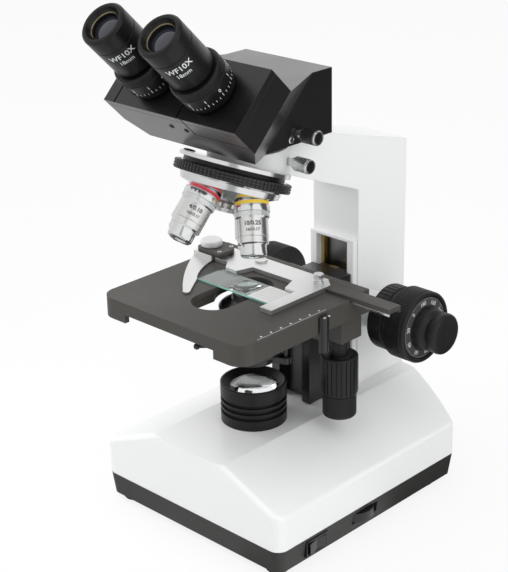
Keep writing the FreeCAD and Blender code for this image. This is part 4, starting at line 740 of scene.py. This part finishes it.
def make_collar(word, side):
    wide, bore = DIOPTER_RADIUS, 14.05
    knurl_low, knurl_top = 19.0, 23.2
    collar = turned("diopter_collar_" + word, [
        (bore, 1.5), (17.4, 1.5), (18.2, 2.0), (19.6, 6.2), (wide, 7.4), (wide, 17.6), (19.4, 18.0),
        (19.4, 18.6), (wide, knurl_low), (wide, knurl_top), (19.6, 24.2), (18.4, 25.0), (bore, 25.0)],
        steps=144, closed=True)
    sink_columns(knurl_low, knurl_top, 144, 0.35, 0.06)
    coat(collar, BARREL_BLACK)
    marks = []
    for number in range(SCALE_MARKS):
        facing = SCALE_FACING + SCALE_STEP * (number - SCALE_MARKS // 2)
        long = number % 4 == 0
        mark = lettering("scale_mark", "I", 3.6 if long else 2.4, 0.06)
        print_round(mark, wide, WHITE_INK, facing, 9.6 if long else 9.0)
        marks.append(mark)
        if long:
            figure = lettering("scale_figure", str(abs(number // 4 - 2)), 3.8, 0.06)
            print_round(figure, wide, WHITE_INK, facing, 13.8)
            marks.append(figure)
    collar = join("diopter_collar_" + word, [collar] + marks)
    settle(collar, TO_EYE, head_spot(side * EYE_HALF, FACE_MIDDLE, FACE_LEVEL))
    hand_over(collar, "diopter_" + word, "black_plastic", "diopter_ring_" + word)


# Lock screws of the arm and the head

# name, start, how far the shank reaches, grip, body, slot, node
LOCK_SCREWS = (
    ("arm_lock_screw", (22.0, 14.0, 285.0), 12.0, CHROME, "arm_lock", "chrome", "arm_screw"),
    ("head_lock_screw", (33.0, 8.0, 310.0), 14.0, GUIDE_STEEL, "head_lock", "steel_dark", "head_screw"),
)


def make_lock_screw(name, start, reach, grip_metal, body, slot, node):
    shank, wide, grip = 3.0, 5.5, 14.0
    end = reach + grip
    screw = turned(name, [
        (shank - 0.4, 0), (shank, 0.4), (shank, reach - 3.0), (shank + 0.9, reach - 2.6),
        (shank + 0.9, reach - 0.2), (wide - 0.7, reach), (wide, reach + 0.8), (wide, end - 1.6),
        (wide - 0.5, end - 1.3), (wide - 0.5, end - 0.9), (wide - 0.1, end - 0.6), (wide - 0.5, end),
        (wide - 1.3, end), (wide - 1.7, end - 0.8), (wide - 2.0, end - 1.0), (0.6, end - 1.0)], steps=56)
    sink_columns(reach + 0.8, end - 1.6, 56, 0.4, 0.06)
    coat(screw, grip_metal)
    coat(screw, CHROME, lambda at: at.z > end - 1.25 or at.z < reach - 0.1)
    coat(screw, BARREL_BLACK, lambda at: at.z > end - 1.1 and at.xy.length < wide - 1.5)
    settle(screw, TO_RIGHT, start)
    hand_over(screw, body, slot, node)


# Focus knobs, with the numbered dial of the fine drive

DIAL_FIGURES, DIAL_TICKS, DIAL_START = 10, 100, 43


def make_coarse_knob(word, turn, sign):
    wide, length = 28.5, 21.0
    knob = turned("coarse_grip_" + word, [
        (6.0, 0), (wide - 1.6, 0), (wide - 0.4, 0.5), (wide, 1.4), (wide, length - 4.6),
        (wide - 0.5, length - 4.2), (wide - 0.5, length - 3.6), (wide, length - 3.2), (wide, length - 1.6),
        (wide - 0.4, length - 0.7), (wide - 1.4, length), (26.0, length), (25.1, length - 0.6),
        (24.8, length - 1.2), (24.8, length - 6), (6.0, length - 6)], steps=180, closed=True)
    sink_columns(1.4, length - 4.6, 180, 0.5, 0.07)
    sink_columns(length - 3.2, length - 1.6, 180, 0.25, 0.06)
    coat(knob, KNOB_BLACK)
    settle(knob, turn, (sign * COARSE_START, FOCUS_Y, FOCUS_Z))
    hand_over(knob, "coarse", "black_plastic", "coarse_knob_" + word)


def make_fine_knob(word, turn, sign):
    out, level = 25.7, 4.5
    knob = turned("fine_grip_" + word, [
        (4.0, 0), (24.3, 0), (24.5, 0.3), (24.5, 4.2), (24.35, 4.42), (24.1, level), (17.6, level),
        (17.0, 4.8), (16.9, 10.4), (16.5, 12.2), (15.6, 13.6), (14.6, 14.4), (14.0, 15.2), (14.0, 16.0),
        (14.6, 16.8), (15.6, 17.6), (16.1, 18.8), (16.3, 20.0), (16.3, 22.6), (15.9, 24.2), (15.0, 25.2),
        (13.4, out), (8.0, out), (2.0, out - 0.4)], steps=96)
    coat(knob, KNOB_BLACK)
    coat(knob, DIAL_FACE, lambda at: at.z < 4.6 and at.xy.length > 17.3)
    marks = []
    for number in range(DIAL_FIGURES):
        figure = lettering("dial_figure", str(20 * number), 4.7, 0.05)
        settle(figure, UPRIGHT, (0, 20.2, level))
        settle(figure, spin(DIAL_START + 360 / DIAL_FIGURES * number), (0, 0, 0))
        marks.append(figure)
    for number in range(DIAL_TICKS):
        long = 1.2 if number % 5 == 0 else 0.7
        tick = flat_strip("dial_tick", (-0.09, 24.0 - long, level - 0.05), (0.09, 24.0, level + 0.05))
        settle(tick, spin(360 / DIAL_TICKS * number), (0, 0, 0))
        marks.append(tick)
    for mark in marks:
        coat(mark, WHITE_INK)
    knob = join("fine_grip_" + word, [knob] + marks)
    settle(knob, turn, (sign * FINE_START, FOCUS_Y, FOCUS_Z))
    hand_over(knob, "fine", "black_plastic", "fine_knob_" + word)


def make_tension_collar():
    wide, length = 26.0, 16.0
    collar = turned("tension_grip", [
        (15.05, 0), (wide - 1.4, 0), (wide - 0.3, 0.5), (wide, 1.4), (wide, length - 3.4),
        (wide - 0.8, length - 2.8), (wide - 0.8, length - 1.0), (wide - 1.2, length), (15.05, length)],
        steps=120, closed=True)
    sink_columns(1.4, length - 3.4, 120, 0.5, 0.1, every=3)
    coat(collar, KNOB_BLACK)
    settle(collar, TO_RIGHT, (TENSION_START, FOCUS_Y, FOCUS_Z))
    hand_over(collar, "tension", "black_plastic", "tension_collar")


# Stage drive: two coaxial knobs hanging under the stage, with the pinions on their shafts


def make_stage_knobs():
    flute_low, flute_top = 106.0, 134.0
    knurl_low, knurl_top = 88.6, 102.4
    upper = turned("y_grip", [
        (5.0, 178.5), (7.6, 178.5), (7.6, 172.8), (6.5, 172.8), (6.5, 134.4), (7.6, 133.6), (11.2, 134.4),
        (12.2, 135.2), (13.2, 135.5), (14.0, 134.9), (14.25, flute_top), (14.25, flute_low), (13.9, 104.6),
        (12.6, 104.0), (5.0, 104.0)], steps=96, closed=True)
    sink_columns(flute_low, flute_top, 96, 0.9, 0.12, every=4)
    coat(upper, KNOB_BLACK)
    coat(upper, STEEL, lambda at: at.z > 172.7)
    settle(upper, UPRIGHT, (DRIVE_X, DRIVE_Y, 0))
    hand_over(upper, "y_drive", "black_plastic", "y_knob")
    lower = turned("x_grip", [
        (4.6, 183.9), (4.6, 182.3), (3.5, 182.2), (3.5, 103.7), (11.8, 103.7), (12.7, 103.3),
        (13.0, knurl_top), (13.0, knurl_low), (12.75, 88.3), (12.75, 87.9), (13.0, 87.6), (13.0, 86.8),
        (12.6, 85.9), (11.6, 85.5), (3.0, 85.5)], steps=144)
    sink_columns(knurl_low, knurl_top, 144, 0.35, 0.06)
    coat(lower, KNOB_BLACK)
    coat(lower, STEEL, lambda at: at.z > 104)
    settle(lower, UPRIGHT, (DRIVE_X, DRIVE_Y, 0))
    hand_over(lower, "x_drive", "black_plastic", "x_knob")


# Slide holder's fasteners, the finger's cap and the slide's label


def make_holder_fasteners():
    post = turned("holder_thumbscrew", [
        (2.0, HOLDER_FOOT), (2.0, HOLDER_TOP), (3.9, HOLDER_TOP), (4.1, 189.5), (4.1, 190.6),
        (3.0, 191.0), (2.9, 191.5), (3.7, 191.9), (3.9, 192.2), (3.9, 195.3), (3.5, 195.8),
        (1.2, 195.8)], steps=48)
    sink_columns(192.2, 195.3, 48, 0.3, 0.05)
    coat(post, CHROME)
    settle(post, UPRIGHT, (39.0, 32.0, 0))
    disc = turned("holder_disc_screw", [
        (2.0, HOLDER_FOOT), (2.0, HOLDER_TOP), (4.6, HOLDER_TOP), (4.8, 189.5), (4.8, 190.4),
        (4.5, 190.8), (3.0, 191.0), (2.8, 190.6), (0.8, 190.6)], steps=64)
    sink_columns(189.5, 190.4, 64, 0.2, 0.05)
    coat(disc, SATIN_CHROME)
    settle(disc, UPRIGHT, (-22.0, 34.0, 0))
    pair = join("holder_fasteners", [post, disc])
    hand_over(pair, "stage_x", "steel", "holder_screws")
    cap = turned("finger_cap_turned", [
        (2.5, 193.6), (8.0, 193.6), (8.5, 194.0), (8.6, 194.6), (8.6, 197.3), (8.3, 198.1), (7.6, 198.55),
        (6.6, 198.6), (3.0, 198.5), (0.8, 198.5)], steps=72)
    coat(cap, CAP_METAL)
    settle(cap, UPRIGHT, FINGER_PIVOT)
    hand_over(cap, "finger", "steel", "finger_cap")


def screw_head(name, spot, turn, wide, metal):
    """A small cross-recessed or socket head standing on a surface, with painted shade in black in its
    recess.
    """
    head = turned(name, [
        (wide, -0.3), (wide, 0.25), (wide * 0.86, 0.55), (wide * 0.5, 0.6), (wide * 0.42, 0.15),
        (wide * 0.1, 0.1)], steps=32)
    coat(head, metal)
    # Painted shade: the recess is painted black.
    coat(head, BLACK_INK_AND_SHADE, lambda at: at.z < 0.4 and at.xy.length < wide * 0.46)
    return settle(head, turn, spot)


def make_small_screws():
    """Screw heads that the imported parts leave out, and the cap of the nosepiece's lock."""
    block = [screw_head("block_screw_%d" % number, spot, UPRIGHT, 1.7, CHROME)
             for number, spot in enumerate(((-52.9, 19.2, 193.5), (-53.7, 33.2, 193.5)))]
    hand_over(join("block_screws", block), "stage_x", "steel")
    spots = (head_spot(-7.6, FACE_LOW, 275.4), head_spot(6.5, FACE_LOW, 274.5))
    face = [screw_head("head_face_screw_%d" % number, spot, DOWN_FRONT, 2.0, BARREL_BLACK)
            for number, spot in enumerate(spots)]
    hand_over(join("head_face_screws", face), "head", "steel_dark")
    side = screw_head("head_side_screw", (HEAD_BOX_HALF, 0.0, 307.0), TO_RIGHT, 2.6, CHROME)
    hand_over(side, "head", "steel")
    carriage = screw_head("carriage_screw", (CARRIAGE_SIDE, 62.0, 96.0), TO_RIGHT, 1.8, CHROME)
    hand_over(carriage, "stage", "steel")
    cover = turned("nosepiece_lock_cap", [
        (4.6, -1.0), (4.8, 1.6), (4.4, 2.6), (3.4, 3.1), (1.4, 3.2)], steps=40)
    coat(cover, BARREL_BLACK)
    settle(cover, TO_TURRET, (-30.0, -30.6, 290.3))
    hand_over(cover, "frame", "black_plastic")
    pointer = [screw_head("pointer_screw_%d" % number, (78.0, spot, 183.5), UPRIGHT, 1.1, CHROME)
               for number, spot in enumerate((-5.4, -0.6))]
    hand_over(join("pointer_screws", pointer), "stage", "steel")


def make_head_seams():
    """Painted shade: near-black strips for the shade in the gaps at the edges of the sliding plates, and
    where they run on down the head's front.
    """
    wide, thick, inset = 1.2, 0.04, 0.05
    seams = (
        ("plate_seam_right", "eye_right", FACE_LENGTH - 2 * inset, TO_EYE,
         head_spot(PLATE_SPLIT, FACE_LOW + inset, FACE_LEVEL)),
        ("plate_seam_left", "eye_left", FACE_LENGTH - 2 * inset, TO_EYE,
         head_spot(PLATE_LEFT_END, FACE_LOW + inset, FACE_LEVEL)),
        ("front_seam", "head", 19.0, DOWN_FRONT, head_spot(12.5, FACE_LOW, 272.2)),
    )
    for name, body, length, turn, spot in seams:
        strip = flat_strip(name, (0, 0, 0), (wide, length, thick), cuts=5)
        # Each strip is painted shade in a gap.
        coat(strip, SEAM_SHADE)
        settle(strip, turn, spot)
        hand_over(strip, body, "black_paint")


def make_stage_scale():
    """The engraved line and dots of the Y scale at the stage's right edge."""
    low, high = STAGE_TOP - 0.02, STAGE_TOP + 0.06
    pieces = [flat_strip("scale_line", (71.6, -68.0, low), (71.9, 3.0, high), cuts=6)]
    for number in range(7):
        dot = turned("scale_dot", [(0.85, low), (0.85, high - 0.01), (0.4, high)], steps=16)
        settle(dot, UPRIGHT, (69.6, -62.0 + 10 * number, 0))
        pieces.append(dot)
    for piece in pieces:
        coat(piece, WHITE_INK)
    hand_over(join("stage_scale", pieces), "stage_y", "black_paint")


def make_slide_dressing():
    """The paper label, the cover slip and the stained specimen on the slide."""
    top = SLIDE_TOP
    label = flat_strip("slide_label", (13.5, -18.4, top), (37.8, 6.4, top + 0.12), cuts=3)
    coat(label, LABEL_PAPER)
    lines = []
    for number in range(5):
        near = -14.8 + 4 * number
        stroke = flat_strip("label_line", (16.0, near, top + 0.1), (35.6, near + 0.3, top + 0.16), cuts=3)
        coat(stroke, LABEL_GREY)
        lines.append(stroke)
    hand_over(join("slide_label", [label] + lines), "stage_x", "slide_glass")
    blot = turned("specimen_blot", [(6.2, top), (6.4, top + 0.05), (6.2, top + 0.1), (1.0, top + 0.12)],
                  steps=48)
    coat(blot, SPECIMEN)
    settle(blot, UPRIGHT, (0, -6.0, 0))
    hand_over(blot, "stage_x", "slide_glass")
    slip = flat_strip("cover_slip", (-9.0, -15.0, top + 0.13), (9.0, 3.0, top + 0.3))
    round_corners(slip, 0.3)
    coat(slip, SLIDE_GLASS)
    hand_over(slip, "stage_x", "slide_glass")


def second_finish(node, material, test):
    """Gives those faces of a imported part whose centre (mm) and normal pass the test a second material."""
    mesh = NODES[node].data
    mesh.materials.append(material)
    for face in mesh.polygons:
        if test(face.center / MM, face.normal):
            face.material_index = 1


def finish_details():
    """The slide's sawn sides look green, the nosepiece's race has painted shade in black for its recess,
    the cross bar's rack bare metal.
    """
    race_radius, bar_ledge, bar_front = 40.5, 184.25, 30.5

    def in_race(centre, normal):
        out = centre - Vector(TURRET_APEX)
        from_axis = (out - TURRET_AXIS * out.dot(TURRET_AXIS)).length
        return from_axis < race_radius and normal.dot(TURRET_AXIS) < 0.5

    second_finish("specimen_slide", SLIDE_EDGE, lambda centre, normal: abs(normal.z) < 0.5)
    # Painted shade: the race's sideways faces in the recess under the plate are painted black.
    second_finish("nosepiece_plate", BARREL_BLACK, in_race)
    second_finish("x_bar", CHROME, lambda centre, normal: centre.z < bar_ledge and centre.y < bar_front)


# What shows inside the lamp and the column


def make_collector():
    """The lamp's front lens, a shallow dome that sits high in the housing's mouth."""
    dome = turned("collector_dome", [
        (16.4, 98.6), (18.9, 103.0), (19.2, 103.6), (18.4, 104.4), (16.0, 105.4), (12.6, 106.3),
        (8.4, 106.9), (4.0, 107.2), (0.8, 107.25)], steps=96)
    coat(dome, LENS_GLASS)
    hand_over(dome, "frame", "lens_glass", "collector_lens", smooth=50)


def make_lamp_insides():
    """The reflector and the frosted disc that show through the lamp's lens."""
    cup = turned("lamp_reflector", [
        (14.8, 97.6), (13.6, 94.0), (10.6, 90.4), (7.0, 88.2), (4.6, 87.4), (4.6, 86.6), (7.6, 87.4),
        (11.4, 89.8), (14.2, 93.4), (15.0, 97.6)], steps=72, closed=True)
    coat(cup, CHROME)
    hand_over(cup, "frame", "chrome")
    frost = turned("lamp_diffuser", [(14.6, 97.7), (14.6, 98.3), (12.0, 98.5), (1.0, 98.5)], steps=72)
    coat(frost, FROST)
    hand_over(frost, "frame", "lens_glass")


def make_guide_plate():
    """The bare steel plate at the back of the column's window."""
    plate = plate_blank("guide_plate", (-15.6, 101.4, 150.0), (15.6, 102.6, 197.4))
    pick_faces(lambda centre, normal: normal.y < -0.9)
    bpy.ops.mesh.inset(thickness=0.0012, depth=-0.0003)
    bpy.ops.object.mode_set(mode="OBJECT")
    coat(plate, GUIDE_STEEL)
    hand_over(plate, "frame", "steel")


def make_floor():
    """White paper that the camera sees near white, with the object's soft shadow on it; to mirrors it glows
    with the flags' grey levels, a painted reflection.
    """
    start_clean()
    bpy.ops.mesh.primitive_plane_add(size=12, location=(0, 0, -0.0002))
    floor = bpy.context.object
    floor.name = "floor"
    material, tree, shader = blank_material("floor_paper", Roughness=0.85)
    shader.inputs["Base Color"].default_value = PAPER_COLOUR
    nodes = tree.nodes
    glow = nodes.new("ShaderNodeEmission")
    glow.inputs["Color"].default_value = WHITE
    path = nodes.new("ShaderNodeLightPath")
    seen = math_node(tree, "MAXIMUM")
    share = math_node(tree, "MULTIPLY")
    share.inputs[1].default_value = PAPER_GLOW
    mix = nodes.new("ShaderNodeMixShader")
    place = nodes.new("ShaderNodeTexCoord")
    flags = use_group(tree, STUDIO_FLAGS)
    # Painted reflection: to gloss rays the floor glows with the flags' grey levels round the horizon.
    mirrored = nodes.new("ShaderNodeEmission")
    mirrored.inputs["Strength"].default_value = FLOOR_PAINTED_REFLECTION
    shine = nodes.new("ShaderNodeMixShader")
    tree.links.new(place.outputs["Object"], flags.inputs["Place"])
    tree.links.new(flags.outputs["Color"], mirrored.inputs["Color"])
    tree.links.new(path.outputs["Is Glossy Ray"], shine.inputs[0])
    tree.links.new(path.outputs["Is Camera Ray"], seen.inputs[0])
    tree.links.new(path.outputs["Is Transmission Ray"], seen.inputs[1])
    tree.links.new(seen.outputs[0], share.inputs[0])
    tree.links.new(share.outputs[0], mix.inputs[0])
    tree.links.new(shader.outputs[0], mix.inputs[1])
    tree.links.new(glow.outputs[0], mix.inputs[2])
    tree.links.new(mix.outputs[0], shine.inputs[1])
    tree.links.new(mirrored.outputs[0], shine.inputs[2])
    tree.links.new(shine.outputs[0], nodes["Material Output"].inputs["Surface"])
    floor.data.materials.append(material)


make_camera()
make_world()
for lamp in LAMPS:
    area_lamp(*lamp)
make_floor()
finish_nodes()
finish_details()
make_turret_ring()
for name, facts in OBJECTIVES.items():
    make_objective(name, *facts)
for word, side in (("right", 1), ("left", -1)):
    make_eyepiece(word, side)
    make_collar(word, side)
    make_coarse_knob(word, TO_RIGHT if side > 0 else TO_LEFT, side)
    make_fine_knob(word, TO_RIGHT if side > 0 else TO_LEFT, side)
for screw in LOCK_SCREWS:
    make_lock_screw(*screw)
make_tension_collar()
make_stage_knobs()
make_holder_fasteners()
make_small_screws()
make_head_seams()
make_stage_scale()
make_slide_dressing()
make_collector()
make_lamp_insides()
make_guide_plate()

bpy.context.scene.view_settings.view_transform = "Standard"
